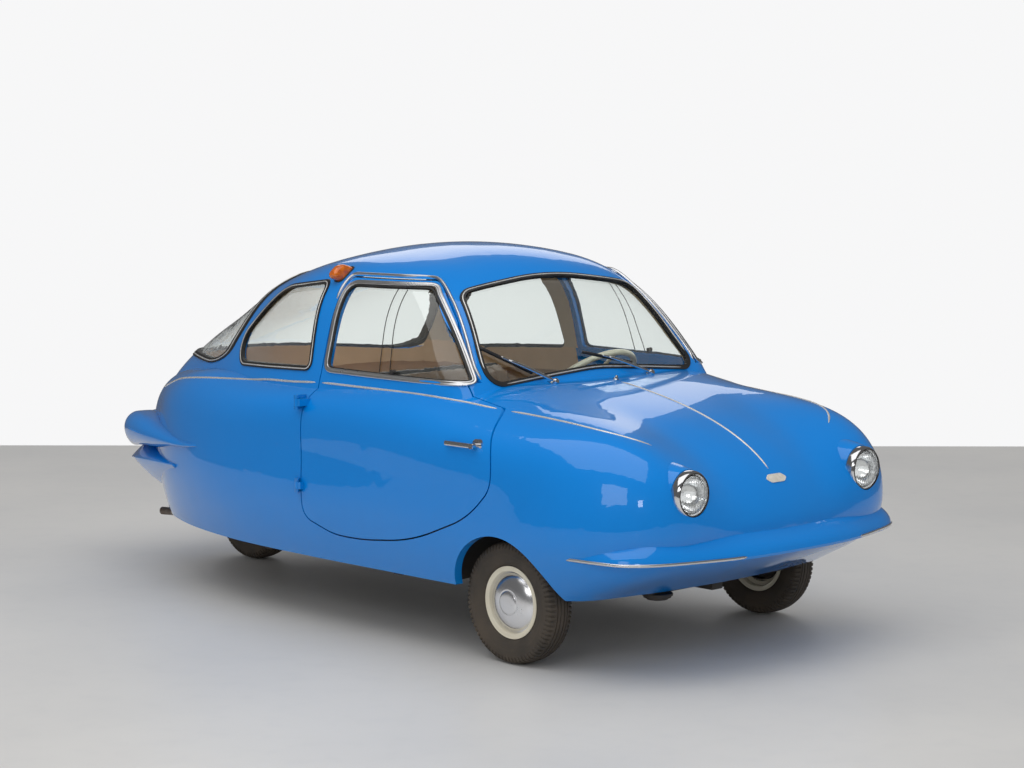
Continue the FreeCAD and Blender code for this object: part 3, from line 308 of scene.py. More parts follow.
def spun(name, profile, start, way, material, body, steps=48):
    # a closed profile of (along, radius) turned about a line from a place along a direction
    way = np.asarray(way, float) / np.linalg.norm(way)
    side = np.cross(way, (0, 0, 1.0) if abs(way[2]) < 0.9 else (1.0, 0, 0))
    side /= np.linalg.norm(side)
    other = np.cross(way, side)
    points = []
    for k in range(steps):
        angle = 2 * math.pi * k / steps
        out = side * math.cos(angle) + other * math.sin(angle)
        points += [np.asarray(start) + way * along + out * radius for along, radius in profile]
    piece = addMesh(name, points, sweepFaces(steps, len(profile), True), material, body)
    sharpen(piece, 40)
    return piece


def plate(name, flat, start, right, up, way, levels, material, body, field=wholeField):
    # a low plate whose outline follows the skin, with levels of (share of its size, lift over the skin)
    start, right, up = (np.asarray(v, float) for v in (start, right, up))
    rings = []
    for share, lift in levels:
        rings.append(onSkin([start + (right * a + up * b) * share for a, b in flat], way, field, lift))
    count = len(flat)
    faces = [tuple(range(count)), tuple(len(rings) * count - 1 - k for k in range(count))]
    for i in range(len(rings) - 1):
        for k in range(count):
            m = (k + 1) % count
            faces.append((i * count + k, i * count + m, (i + 1) * count + m, (i + 1) * count + k))
    piece = addMesh(name, np.concatenate(rings), faces, material, body)
    sharpen(piece, 35)
    return piece


print("form ready")


# Shader groups: each puts out a colour, a mask, a value or a normal
def newGroup(name, inputs, outputs):
    group = bpy.data.node_groups.new(name, "ShaderNodeTree")
    for label, kind, value in inputs:
        socket = group.interface.new_socket(label, in_out="INPUT", socket_type=kind)
        if value is not None:
            socket.default_value = value
    for label, kind in outputs:
        group.interface.new_socket(label, in_out="OUTPUT", socket_type=kind)
    return group, group.nodes.new("NodeGroupInput"), group.nodes.new("NodeGroupOutput")


def addNode(tree, kind, links=None, **settings):
    node = tree.nodes.new("ShaderNode" + kind)
    for key, value in settings.items():
        setattr(node, key, value)
    for socket, source in (links or {}).items():
        if isinstance(source, bpy.types.NodeSocket):
            tree.links.new(source, node.inputs[socket])
        else:
            node.inputs[socket].default_value = source
    return node


def mathNode(tree, operation, a, b=None, clamp=False):
    links = {0: a}
    if b is not None:
        links[1] = b
    return addNode(tree, "Math", links, operation=operation, use_clamp=clamp).outputs[0]


def rangeNode(tree, value, low, high, toLow=0.0, toHigh=1.0):
    return addNode(tree, "MapRange", {"Value": value, "From Min": low, "From Max": high,
                                      "To Min": toLow, "To Max": toHigh}).outputs[0]


def mixColour(tree, factor, a, b):
    node = addNode(tree, "Mix", data_type="RGBA")
    for socket, source in ((node.inputs[0], factor), (node.inputs[6], a), (node.inputs[7], b)):
        if isinstance(source, bpy.types.NodeSocket):
            tree.links.new(source, socket)
        else:
            socket.default_value = source
    return node.outputs[2]


def makeVariation():
    # two shades of one colour in soft clouds, with a finer speck over them
    group, start, end = newGroup("shadeVariation", [
        ("Vector", "NodeSocketVector", None), ("Colour", "NodeSocketColor", (0.5, 0.5, 0.5, 1)),
        ("Second colour", "NodeSocketColor", (0.4, 0.4, 0.4, 1)), ("Scale", "NodeSocketFloat", 6.0),
        ("Amount", "NodeSocketFloat", 1.0)],
        [("Colour", "NodeSocketColor"), ("Mask", "NodeSocketFloat")])
    cloud = addNode(group, "TexNoise", {"Vector": start.outputs[0], "Scale": start.outputs[3], "Detail": 4.0})
    fineScale = mathNode(group, "MULTIPLY", start.outputs[3], 14.0)
    speck = addNode(group, "TexNoise", {"Vector": start.outputs[0], "Scale": fineScale, "Detail": 2.0})
    both = mathNode(group, "ADD", rangeNode(group, cloud.outputs[0], 0.35, 0.68),
                    rangeNode(group, speck.outputs[0], 0.5, 0.8, 0.0, 0.35))
    mask = mathNode(group, "MULTIPLY", both, start.outputs[4], clamp=True)
    group.links.new(mixColour(group, mask, start.outputs[1], start.outputs[2]), end.inputs[0])
    group.links.new(mask, end.inputs[1])
    return group


def makeGrain():
    # height of pebbled grain with larger creases
    group, start, end = newGroup("pebbleGrain", [
        ("Vector", "NodeSocketVector", None), ("Scale", "NodeSocketFloat", 400.0)],
        [("Height", "NodeSocketFloat")])
    cells = addNode(group, "TexVoronoi", {"Vector": start.outputs[0], "Scale": start.outputs[1]},
                    feature="SMOOTH_F1")
    wideScale = mathNode(group, "MULTIPLY", start.outputs[1], 0.08)
    wide = addNode(group, "TexNoise", {"Vector": start.outputs[0], "Scale": wideScale, "Detail": 3.0})
    creases = mathNode(group, "MULTIPLY", wide.outputs[0], 1.6)
    group.links.new(mathNode(group, "ADD", cells.outputs[0], creases), end.inputs[0])
    return group


def makeWeave():
    # height of crossed threads
    group, start, end = newGroup("crossWeave", [
        ("Vector", "NodeSocketVector", None), ("Scale", "NodeSocketFloat", 300.0)],
        [("Height", "NodeSocketFloat")])
    total = None
    for way in ("X", "Y", "Z"):
        wave = addNode(group, "TexWave", {"Vector": start.outputs[0], "Scale": start.outputs[1],
                                          "Distortion": 0.6}, bands_direction=way).outputs[1]
        total = wave if total is None else mathNode(group, "ADD", total, wave)
    group.links.new(total, end.inputs[0])
    return group


def makeDustAndShade():
    # a patchy mask that grows towards the ground: dust on wheels and steel, painted shade on the body
    group, start, end = newGroup("groundDustAndShade", [
        ("Vector", "NodeSocketVector", None), ("Height from", "NodeSocketFloat", 0.0),
        ("Height to", "NodeSocketFloat", 0.4), ("Amount", "NodeSocketFloat", 0.5)],
        [("Mask", "NodeSocketFloat")])
    place = addNode(group, "SeparateXYZ", {0: start.outputs[0]})
    low = addNode(group, "MapRange", {"Value": place.outputs[2], "From Min": start.outputs[2],
                                      "From Max": start.outputs[1]})
    cloud = addNode(group, "TexNoise", {"Vector": start.outputs[0], "Scale": 9.0, "Detail": 5.0})
    patchy = mathNode(group, "MULTIPLY", low.outputs[0], rangeNode(group, cloud.outputs[0], 0.3, 0.7))
    mask = mathNode(group, "MULTIPLY", patchy, start.outputs[3], clamp=True)
    group.links.new(mask, end.inputs[0])
    return group


def makeScratches():
    # fine polishing marks, as a roughness mask
    group, start, end = newGroup("polishMarks", [
        ("Vector", "NodeSocketVector", None), ("Scale", "NodeSocketFloat", 60.0),
        ("Stretch", "NodeSocketFloat", 12.0)],
        [("Mask", "NodeSocketFloat")])
    stretched = mathNode(group, "MULTIPLY", start.outputs[1], start.outputs[2])
    long = addNode(group, "CombineXYZ", {0: start.outputs[1], 1: start.outputs[1], 2: stretched})
    moved = addNode(group, "VectorMath", {0: start.outputs[0], 1: long.outputs[0]}, operation="MULTIPLY")
    noise = addNode(group, "TexNoise", {"Vector": moved.outputs[0], "Scale": 1.0, "Detail": 6.0,
                                        "Roughness": 0.7})
    group.links.new(rangeNode(group, noise.outputs[0], 0.35, 0.75), end.inputs[0])
    return group


groups = {"variation": makeVariation(), "grain": makeGrain(), "weave": makeWeave(), "dustAndShade": makeDustAndShade(),
          "scratches": makeScratches()}


def useGroup(tree, name, **values):
    node = tree.nodes.new("ShaderNodeGroup")
    node.node_tree = groups[name]
    for key, value in values.items():
        socket = node.inputs[key.replace("_", " ")]
        if isinstance(value, bpy.types.NodeSocket):
            tree.links.new(value, socket)
        else:
            socket.default_value = value
    return node


def finish(name, colour, second=None, scale=5.0, amount=0.6, roughness=(0.4, 0.5), metallic=0.0, bump=None,
           bumpScale=300.0, bumpStrength=0.15, bumpDistance=0.001, dustAndShade=None, dustColour=(0.16, 0.13, 0.1, 1),
           **sockets):
    # a Principled material whose colour, roughness and height come from the groups above
    material = bpy.data.materials.new(name)
    material.use_nodes = True
    tree = material.node_tree
    shader = tree.nodes["Principled BSDF"]
    vector = addNode(tree, "TexCoord").outputs["Object"]
    second = second or tuple(c * 0.86 for c in colour[:3]) + (1,)
    shade = useGroup(tree, "variation", Vector=vector, Colour=colour, Second_colour=second, Scale=scale,
                     Amount=amount)
    base, rough = shade.outputs[0], rangeNode(tree, shade.outputs[1], 0, 1, roughness[0], roughness[1])
    if dustAndShade:
        mask = useGroup(tree, "dustAndShade", Vector=vector, Height_from=dustAndShade[0], Height_to=dustAndShade[1],
                        Amount=dustAndShade[2]).outputs[0]
        base = mixColour(tree, mask, base, dustColour)
        rough = mathNode(tree, "ADD", rough, mathNode(tree, "MULTIPLY", mask, 0.5), clamp=True)
    if bump:
        if bump == "noise":
            height = addNode(tree, "TexNoise", {"Vector": vector, "Scale": bumpScale, "Detail": 4.0}).outputs[0]
        elif bump == "scratches":
            height = useGroup(tree, "scratches", Vector=vector, Scale=bumpScale).outputs[0]
        else:
            height = useGroup(tree, bump, Vector=vector, Scale=bumpScale).outputs[0]
        surface = addNode(tree, "Bump", {"Height": height, "Strength": bumpStrength, "Distance": bumpDistance})
        tree.links.new(surface.outputs[0], shader.inputs["Normal"])
    tree.links.new(base, shader.inputs["Base Color"])
    tree.links.new(rough, shader.inputs["Roughness"])
    shader.inputs["Metallic"].default_value = metallic
    for key, value in sockets.items():
        shader.inputs[key.replace("_", " ")].default_value = value
    return material


def clearFinish(name, colour, roughness=0.0, ior=1.45, height=None, strength=0.3):
    # glass that lets shadow rays through, so that light reaches what is behind it
    material = bpy.data.materials.new(name)
    material.use_nodes = True
    tree = material.node_tree
    shader = tree.nodes["Principled BSDF"]
    vector = addNode(tree, "TexCoord").outputs["Object"]
    shade = useGroup(tree, "variation", Vector=vector, Colour=colour,
                     Second_colour=tuple(c * 0.97 for c in colour[:3]) + (1,), Scale=3.0, Amount=0.5)
    tree.links.new(shade.outputs[0], shader.inputs["Base Color"])
    tree.links.new(rangeNode(tree, shade.outputs[1], 0, 1, roughness, roughness + 0.015),
                   shader.inputs["Roughness"])
    shader.inputs["Transmission Weight"].default_value = 1.0
    shader.inputs["IOR"].default_value = ior
    if height:
        surface = addNode(tree, "Bump", {"Height": height(tree, vector), "Strength": strength, "Distance": 0.002})
        tree.links.new(surface.outputs[0], shader.inputs["Normal"])
    path = addNode(tree, "LightPath")
    clear = addNode(tree, "BsdfTransparent", {"Color": colour})
    passing = mathNode(tree, "MAXIMUM", path.outputs["Is Shadow Ray"], path.outputs["Is Diffuse Ray"])
    mix = addNode(tree, "MixShader", {0: passing, 1: shader.outputs[0], 2: clear.outputs[0]})
    tree.links.new(mix.outputs[0], tree.nodes["Material Output"].inputs["Surface"])
    return material


bodyWork = {
    "blue": (0.0, 0.212, 0.665, 1), "blueWorn": (0.0, 0.197, 0.62, 1), "cloudScale": 1.6,
    # painted shade: a darker blue mixed in patches towards the bottom of the body, between the heights that
    # follow
    "lowShade": (0.03, 0.15, 0.36, 1), "lowShadeFrom": 0.2, "lowShadeTo": 0.55, "lowShadeAmount": 0.10,
    "lining": (0.80, 0.54, 0.34, 1), "liningWorn": (0.68, 0.44, 0.26, 1), "headlining": (0.60, 0.46, 0.32, 1),
    "spineFrom": -1.1, "spineTo": 1.2, "spineHeight": 0.6, "inwards": -0.3,
    "cabinFrom": 0.03, "cabinTo": 1.18, "sillHeight": 0.87, "shelfHeight": 0.64,
    "paintRoughness": 0.32, "liningRoughness": 0.7, "waveScale": 5.5, "peelScale": 420.0, "peel": 0.012,
}


def liningMask(tree, vector, place):
    # the faces that look towards the cabin's spine, from the dashboard to the rear shelf
    middle = addNode(tree, "Clamp", {0: place.outputs[1], 1: bodyWork["spineFrom"], 2: bodyWork["spineTo"]})
    spine = addNode(tree, "CombineXYZ", {0: 0.0, 1: middle.outputs[0], 2: bodyWork["spineHeight"]})
    ray = addNode(tree, "VectorMath", {0: vector, 1: spine.outputs[0]}, operation="SUBTRACT").outputs[0]
    ray = addNode(tree, "VectorMath", {0: ray}, operation="NORMALIZE").outputs[0]
    shape = addNode(tree, "NewGeometry")
    facing = addNode(tree, "VectorMath", {0: ray, 1: shape.outputs["True Normal"]}, operation="DOT_PRODUCT")
    side = mathNode(tree, "SUBTRACT", 1.0, mathNode(tree, "MULTIPLY", 2.0, shape.outputs["Backfacing"]))
    facing = mathNode(tree, "MULTIPLY", facing.outputs["Value"], side)
    inside = mathNode(tree, "LESS_THAN", facing, bodyWork["inwards"])
    behind = mathNode(tree, "GREATER_THAN", place.outputs[1], bodyWork["cabinFrom"])
    high = mathNode(tree, "GREATER_THAN", place.outputs[2], bodyWork["sillHeight"])
    lined = mathNode(tree, "MULTIPLY", inside, mathNode(tree, "MAXIMUM", behind, high))
    ahead = mathNode(tree, "LESS_THAN", place.outputs[1], bodyWork["cabinTo"])
    above = mathNode(tree, "GREATER_THAN", place.outputs[2], bodyWork["shelfHeight"])
    return mathNode(tree, "MULTIPLY", lined, mathNode(tree, "MAXIMUM", ahead, above))


def bodyPaint(name, lining=True):
    # gloss blue outside, darkened towards the bottom by painted shade, and tan lining in the cabin
    material = bpy.data.materials.new(name)
    material.use_nodes = True
    tree = material.node_tree
    shader = tree.nodes["Principled BSDF"]
    vector = addNode(tree, "TexCoord").outputs["Object"]
    place = addNode(tree, "SeparateXYZ", {0: vector})
    shade = useGroup(tree, "variation", Vector=vector, Colour=bodyWork["blue"],
                     Second_colour=bodyWork["blueWorn"], Scale=bodyWork["cloudScale"], Amount=0.5)
    # painted shade: the darker blue, in patches, deepest at the bottom of the body
    lowShade = useGroup(tree, "dustAndShade", Vector=vector, Height_from=bodyWork["lowShadeFrom"],
                     Height_to=bodyWork["lowShadeTo"], Amount=bodyWork["lowShadeAmount"])
    paint = mixColour(tree, lowShade.outputs[0], shade.outputs[0], bodyWork["lowShade"])
    trim = useGroup(tree, "variation", Vector=vector, Colour=bodyWork["lining"],
                    Second_colour=bodyWork["liningWorn"], Scale=7.0, Amount=0.8)
    high = mathNode(tree, "GREATER_THAN", place.outputs[2], bodyWork["sillHeight"])
    trim = mixColour(tree, high, trim.outputs[0], bodyWork["headlining"])
    lined = liningMask(tree, vector, place) if lining else 0.0
    rough = addNode(tree, "Mix", {0: lined, 2: bodyWork["paintRoughness"], 3: bodyWork["liningRoughness"]})
    tree.links.new(mixColour(tree, lined, paint, trim), shader.inputs["Base Color"])
    tree.links.new(rough.outputs[0], shader.inputs["Roughness"])
    tree.links.new(mathNode(tree, "SUBTRACT", 1.0, lined), shader.inputs["Coat Weight"])
    shader.inputs["Coat Roughness"].default_value = 0.02
    shader.inputs["Specular IOR Level"].default_value = 0.1
    shader.inputs["Coat IOR"].default_value = 1.5
    wave = addNode(tree, "TexNoise", {"Vector": vector, "Scale": bodyWork["waveScale"], "Detail": 1.0})
    peel = addNode(tree, "TexNoise", {"Vector": vector, "Scale": bodyWork["peelScale"], "Detail": 1.0})
    fine = mathNode(tree, "MULTIPLY", peel.outputs[0], bodyWork["peel"])
    height = mathNode(tree, "ADD", wave.outputs[0], fine)
    surface = addNode(tree, "Bump", {"Height": height, "Strength": 0.35, "Distance": 0.0035})
    tree.links.new(surface.outputs[0], shader.inputs["Normal"])
    return material


def lampRibs(tree, vector):
    ribs = addNode(tree, "TexWave", {"Vector": vector, "Scale": 32.0}, bands_direction="X").outputs[1]
    bars = addNode(tree, "TexWave", {"Vector": vector, "Scale": 9.0}, bands_direction="Z").outputs[1]
    return mathNode(tree, "ADD", ribs, mathNode(tree, "MULTIPLY", bars, 0.4))


paints = {
    "bluePaint": bodyPaint("bluePaint"),
    "doorPaint": bodyPaint("doorPaint", False),
    "hingePaint": finish("hingePaint", (0.0, 0.19, 0.6, 1), roughness=(0.25, 0.4), Coat_Weight=0.8, bump="noise",
                         bumpScale=60.0, bumpStrength=0.1),
    "chrome": finish("chrome", (0.78, 0.78, 0.8, 1), (0.62, 0.62, 0.63, 1), 9.0, 0.5, (0.06, 0.16), 1.0,
                     "scratches", 50.0, 0.05, 0.0004),
    "capMetal": finish("capMetal", (0.93, 0.93, 0.95, 1), (0.8, 0.8, 0.81, 1), 9.0, 0.6, (0.2, 0.32), 1.0,
                       "scratches", 50.0, 0.06, 0.0004),
    "aluminium": finish("aluminium", (0.84, 0.84, 0.85, 1), (0.68, 0.68, 0.68, 1), 12.0, 0.7, (0.26, 0.42), 1.0,
                        "scratches", 90.0, 0.12, 0.0004),
    "rubber": finish("rubber", (0.016, 0.016, 0.017, 1), (0.032, 0.03, 0.028, 1), 14.0, 0.8, (0.42, 0.62),
                     bump="noise", bumpScale=240.0, bumpStrength=0.12),
    "tyre": finish("tyre", (0.040, 0.034, 0.028, 1), (0.075, 0.06, 0.046, 1), 11.0, 0.9, (0.7, 0.86),
                   bump="noise", bumpScale=260.0, bumpStrength=0.25, dustAndShade=(0.0, 0.55, 0.35),
                   dustColour=(0.15, 0.115, 0.08, 1)),
    "cream": finish("cream", (0.74, 0.69, 0.55, 1), (0.62, 0.56, 0.42, 1), 10.0, 0.5, (0.28, 0.4),
                    Coat_Weight=0.4, dustAndShade=(0.0, 0.5, 0.12)),
    "steelDark": finish("steelDark", (0.018, 0.018, 0.019, 1), (0.045, 0.036, 0.028, 1), 9.0, 0.9, (0.45, 0.75),
                        bump="noise", bumpScale=120.0, bumpStrength=0.2, dustAndShade=(0.0, 0.5, 0.3)),
    "steelBare": finish("steelBare", (0.28, 0.25, 0.22, 1), (0.12, 0.075, 0.045, 1), 20.0, 0.8, (0.4, 0.7), 0.8,
                        "noise", 160.0, 0.2, dustAndShade=(0.0, 0.5, 0.25)),
    "blackTrim": finish("blackTrim", (0.014, 0.014, 0.015, 1), (0.022, 0.021, 0.02, 1), 10.0, 0.7, (0.5, 0.68),
                        bump="grain", bumpScale=420.0, bumpStrength=0.25),
    "tanLeather": finish("tanLeather", (0.36, 0.215, 0.115, 1), (0.25, 0.14, 0.07, 1), 9.0, 0.9, (0.42, 0.6),
                         bump="grain", bumpScale=360.0, bumpStrength=0.3),
    "tanTrim": finish("tanTrim", (0.40, 0.26, 0.155, 1), (0.31, 0.195, 0.11, 1), 8.0, 0.8, (0.62, 0.78),
                      bump="weave", bumpScale=260.0, bumpStrength=0.2),
    "carpet": finish("carpet", (0.03, 0.028, 0.026, 1), (0.05, 0.045, 0.04, 1), 30.0, 1.0, (0.85, 0.95),
                     bump="noise", bumpScale=500.0, bumpStrength=0.7, Sheen_Weight=0.3),
    "creamPlastic": finish("creamPlastic", (0.72, 0.67, 0.54, 1), (0.6, 0.53, 0.39, 1), 14.0, 0.5, (0.2, 0.34),
                           Coat_Weight=0.5, bump="noise", bumpScale=50.0, bumpStrength=0.06),
    "fillerStrip": finish("fillerStrip", (0.84, 0.83, 0.80, 1), (0.64, 0.62, 0.58, 1), 18.0, 0.8, (0.22, 0.4),
                          0.55, "scratches", 70.0, 0.1),
    "badgeMetal": finish("badgeMetal", (0.88, 0.84, 0.76, 1), (0.66, 0.61, 0.52, 1), 60.0, 0.7, (0.3, 0.45), 0.3,
                         "noise", 300.0, 0.25),
    "redLens": finish("redLens", (0.42, 0.006, 0.006, 1), (0.2, 0.003, 0.003, 1), 40.0, 0.8, (0.1, 0.22),
                      bump="grain", bumpScale=160.0, bumpStrength=0.5, Coat_Weight=0.8, Transmission_Weight=0.2),
    "amberLens": finish("amberLens", (0.86, 0.20, 0.006, 1), (0.5, 0.085, 0.003, 1), 70.0, 1.0, (0.12, 0.28),
                        bump="grain", bumpScale=130.0, bumpStrength=0.8, Coat_Weight=0.8,
                        Transmission_Weight=0.2),
    "glass": clearFinish("glass", (0.93, 0.965, 0.95, 1)),
    "lampGlass": clearFinish("lampGlass", (0.95, 0.965, 0.96, 1), 0.02, 1.5, lampRibs, 0.1),
    "reflector": finish("reflector", (0.86, 0.86, 0.87, 1), (0.74, 0.74, 0.74, 1), 18.0, 0.4, (0.1, 0.2), 1.0,
                        "noise", 60.0, 0.05),
}
print("materials:", len(paints))

# Every CAD node takes its finish here
nodePaints = {
    "bluePaint": ("body_shell", "engine_lid"),
    "doorPaint": ("door_right", "door_left"),
    "hingePaint": ("door_hinges", "engine_lid_hinges"),
    "glass": ("windscreen_glass", "rear_window_glass", "quarter_glass_right", "quarter_glass_left",
              "door_glass_right", "door_glass_left"),
    "rubber": ("windscreen_gasket", "rear_window_gasket", "quarter_gaskets"),
    "chrome": ("door_handle_right", "door_handle_left", "headlamp_right", "headlamp_left", "wiper_right",
               "wiper_left"),
    "lampGlass": ("headlamp_lens_left", "headlamp_lens_right"),
    "redLens": ("tail_lamps",),
    "amberLens": ("indicators",),
    "blackTrim": ("dashboard", "pedals", "seat_frame"),
    "carpet": ("floor_pan",),
    "tanTrim": ("rear_shelf",),
    "creamPlastic": ("steering_wheel",),
    "cream": ("rim_front_left", "rim_front_right", "rim_rear"),
    "steelBare": ("exhaust", "engine_block"),
}
for paint, names in nodePaints.items():
    for name in names:
        nodes[name].data.materials.clear()
        nodes[name].data.materials.append(paints[paint])
painted = [name for names in nodePaints.values() for name in names]
for name, node in nodes.items():
    if name not in painted:
        node.data.materials.clear()
        node.data.materials.append(paints["steelDark"])

# Wheels: tyre with road tread, rim and domed cap
wheel = {
    "radius": 196.5, "blocks": 74, "stepsPerBlock": 6, "blockGap": 0.3, "blockDepth": 5.0, "blockPull": 0.035,
    "grooves": (21.0, 8.0), "grooveDepth": 6.0, "grooveHalf": 1.7, "grooveWall": 0.2, "ribHalf": 5.6,
    "crownDrop": 2.6, "crownHalf": 33.0, "tyreEdge": 32, "metalEdge": 40, "capEdge": 50,
    "places": {"front_left": (594, 0, 1, "wheel_fl"), "front_right": (-594, 0, -1, "wheel_fr"),
               "rear": (0, 2100, 1, "wheel_r")},
    # across, radius and how much of the blocks' pattern there is
    "sidewall": [
        (32.5, 103, 0), (33.4, 110, 0), (33.6, 116.6, 0), (37.5, 119.5, 0), (41, 122.5, 0), (42.2, 125, 0),
        (45.5, 131, 0), (48.6, 139, 0), (50.6, 147, 0), (50.9, 149.5, 0), (51.6, 150.5, 0), (52.3, 157, 0),
        (52.4, 165, 0), (51.6, 172, 0), (51.8, 173.5, 0.35), (51.3, 178, 1), (49.6, 183.6, 1), (47.2, 187.6, 1),
        (43.5, 190.2, 1), (38, 192.2, 1), (33, 193.6, 1), (29.2, 194.4, 0.6)],
    "rim": [
        (-37, 113), (-38, 115.4), (-36.4, 116.4), (-34.6, 114.6), (-33.8, 104), (-31, 102.2), (-15, 101.6),
        (-11, 95), (-9.4, 89), (9.4, 89), (11, 95), (15, 101.6), (31, 102.2), (33.8, 104), (34.6, 114.6),
        (36.4, 116.4), (38, 115.4), (37, 113), (36, 101), (33, 98.6), (17, 98), (14, 92), (12.4, 86.6),
        (11.6, 70), (16.2, 58), (17.4, 48), (17.4, 27), (15.6, 25.8), (13.4, 27), (13.4, 46), (11.4, 56),
        (7.2, 66), (7.2, 85.6), (-12, 85.6), (-14, 92), (-17, 98), (-33, 98.6), (-36, 101)],
    "drum": [
        (-20, 75), (-20, 79), (-18, 80), (9.2, 80), (9.2, 76), (7, 24), (14.5, 23.6), (14.5, 10.2),
        (-18.6, 10.2), (-18.6, 23.6), (4, 24), (4, 75)],
    "cap": [
        (20.6, 98.2), (23.4, 98.8), (24.6, 96.8), (24.2, 93.6), (24.8, 92.4), (29.6, 88), (34.2, 82.6),
        (39, 75), (43.6, 64.6), (46.8, 54), (48.6, 44.6), (49.3, 39.6), (48.9, 38.6), (49.4, 37.4),
        (51.3, 35.8), (52.4, 31), (53.2, 22), (53.8, 10), (53.95, 0.02), (51.9, 0.02), (51, 24), (48.6, 36),
        (46.6, 50), (41, 66.6), (32, 81), (22.6, 91), (20.6, 93)],
}


def tyreProfile():
    rows = list(wheel["sidewall"])
    half, wall, rib = wheel["grooveHalf"], wheel["grooveWall"], wheel["ribHalf"]
    for mid in wheel["grooves"]:
        for off in (rib, half + wall, half - wall, wall - half, -half - wall, -rib):
            crown = wheel["radius"] - wheel["crownDrop"] * ((mid + off) / wheel["crownHalf"]) ** 2
            deep = wheel["grooveDepth"] if abs(off) < half else 0
            rows.append((mid + off, crown - deep, 0))
    return rows + [(-a, r, m) for a, r, m in reversed(rows)]


def makeTyre(name, place, hand, body):
    profile = tyreProfile()
    steps = wheel["blocks"] * wheel["stepsPerBlock"]
    points = []
    for k in range(steps):
        angle = 2 * math.pi * k / steps
        phase = (k % wheel["stepsPerBlock"]) / wheel["stepsPerBlock"]
        gap = 1.0 if phase < wheel["blockGap"] else 0.0
        for across, radius, share in profile:
            other = gap if across > 0 else (1.0 if (phase + 0.5) % 1 < wheel["blockGap"] else 0.0)
            r = radius - other * share * wheel["blockDepth"]
            pull = 1 - other * share * wheel["blockPull"]
            points.append((across * pull * hand, r * math.cos(angle), r * math.sin(angle)))
    points = np.array(points) + (place[0], place[1], wheel["radius"])
    piece = addMesh(name, points, sweepFaces(steps, len(profile), True), paints["tyre"], body)
    sharpen(piece, wheel["tyreEdge"])
    return piece


for label, (x, y, hand, body) in wheel["places"].items():
    middle = (x, y, wheel["radius"])
    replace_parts(makeTyre("roadTyre_" + label, (x, y), hand, body), "tyre_" + label)
    rim = turned("wheelRim_" + label, wheel["rim"], middle, paints["cream"], body, 72, hand)
    sharpen(rim, wheel["metalEdge"])
    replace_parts(rim, "rim_" + label)
    drum = turned("brakeDrum_" + label, wheel["drum"], middle, paints["steelDark"], body, 48, hand)
    sharpen(drum, wheel["metalEdge"])
    if label != "rear":
        cap = turned("domedCap_" + label, wheel["cap"], middle, paints["capMetal"], body, 96, hand)
        sharpen(cap, wheel["capEdge"])
        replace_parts(cap, "hub_cap_" + label)
print("wheels made")

# Bright strips along the belt, the wings, the bonnet and the lip
strip = {
    "width": 8.0, "height": 3.4, "lipWidth": 9.0, "lipHeight": 4.0, "lipLevel": 381.0,
    "belt": [(-574, 109, 797), (-586, 156, 801), (-592, 201, 807), (-621, 340, 819), (-637, 518, 826),
             (-646, 856, 828), (-640, 1034, 821), (-603, 1303, 807), (-587, 1498, 795), (-555, 1726, 780),
             (-495, 1919, 758), (-450, 2051, 727), (-425, 2100, 713), (-395, 2150, 697)],
    "wing": [(-567, 64, 793), (-554, -15, 787), (-547, -145, 777), (-536, -267, 763),
             (-495, -359, 744), (-461, -393, 729), (-430, -414, 716)],
    "bonnet": [(0, 123, 844), (0, -100, 800), (0, -267, 753), (0, -400, 693), (0, -486, 638), (0, -518, 607)],
    "doorEnds": (114.0, 914.0), "bodyStart": 938.0,
    "lipEdge": [(0, -668), (280, -653), (430, -618), (590, -557), (655, -490), (672, -426), (682, -350),
                (692, -270)],
    "lipRight": (256.0, 690.0), "lipLeft": (305.0, 612.0),
}


def through(points, spacing=12.0):
    # a smooth line through a few points, with even spacing
    p = np.asarray(points, float)
    t = np.concatenate([[0], np.cumsum(np.linalg.norm(np.diff(p, axis=0), axis=1))])
    at = np.linspace(0, t[-1], max(8, round(t[-1] / spacing)))
    table = np.column_stack([t, p])
    return np.stack(curve(table, at), 1)


def mirroredPoints(points):
    return np.asarray(points) * (-1, 1, 1)


def layStrip(name, points, body):
    way = (0, 0, 1) if name.startswith("bonnet") else (math.copysign(0.8, points[0][0]), 0, 0.6)
    skin = {"car": ("body_shell",), "door_r": ("door_right",), "door_l": ("door_left",)}[body]
    path, normals = settled(points, way, *skin)
    section = arcSection(strip["width"], strip["height"])
    return sweep(name, path, normals, section, paints["fillerStrip"], body, closed=False, taper=4)


belt = through(strip["belt"])
onDoor = belt[(belt[:, 1] > strip["doorEnds"][0]) & (belt[:, 1] < strip["doorEnds"][1])]
onBody = belt[belt[:, 1] > strip["bodyStart"]]
wing = through(strip["wing"])
for side, turn in (("right", np.asarray), ("left", mirroredPoints)):
    layStrip("beltStripDoor_" + side, turn(onDoor), "door_r" if side == "right" else "door_l")
    layStrip("beltStripBody_" + side, turn(onBody), "car")
    layStrip("wingStrip_" + side, turn(wing), "car")
layStrip("bonnetStrip", through(strip["bonnet"]), "car")
lipPath = through([(x, y, strip["lipLevel"]) for x, y in strip["lipEdge"]], 8.0)
for side, sign, (low, high) in (("right", -1, strip["lipRight"]), ("left", 1, strip["lipLeft"])):
    part = lipPath[(lipPath[:, 0] > low) & (lipPath[:, 0] < high)] * (sign, 1, 1)
    normal = np.cross(np.gradient(part, axis=0), (0, 0, 1.0)) * -sign
    normal /= np.linalg.norm(normal, axis=1)[:, None]
    section = arcSection(strip["lipWidth"], strip["lipHeight"], 2.0)
    sweep("lipStrip_" + side, part - normal - (0, 0, 1.0), normal, section, paints["aluminium"], "car",
          closed=False, taper=3)
print("strips laid")

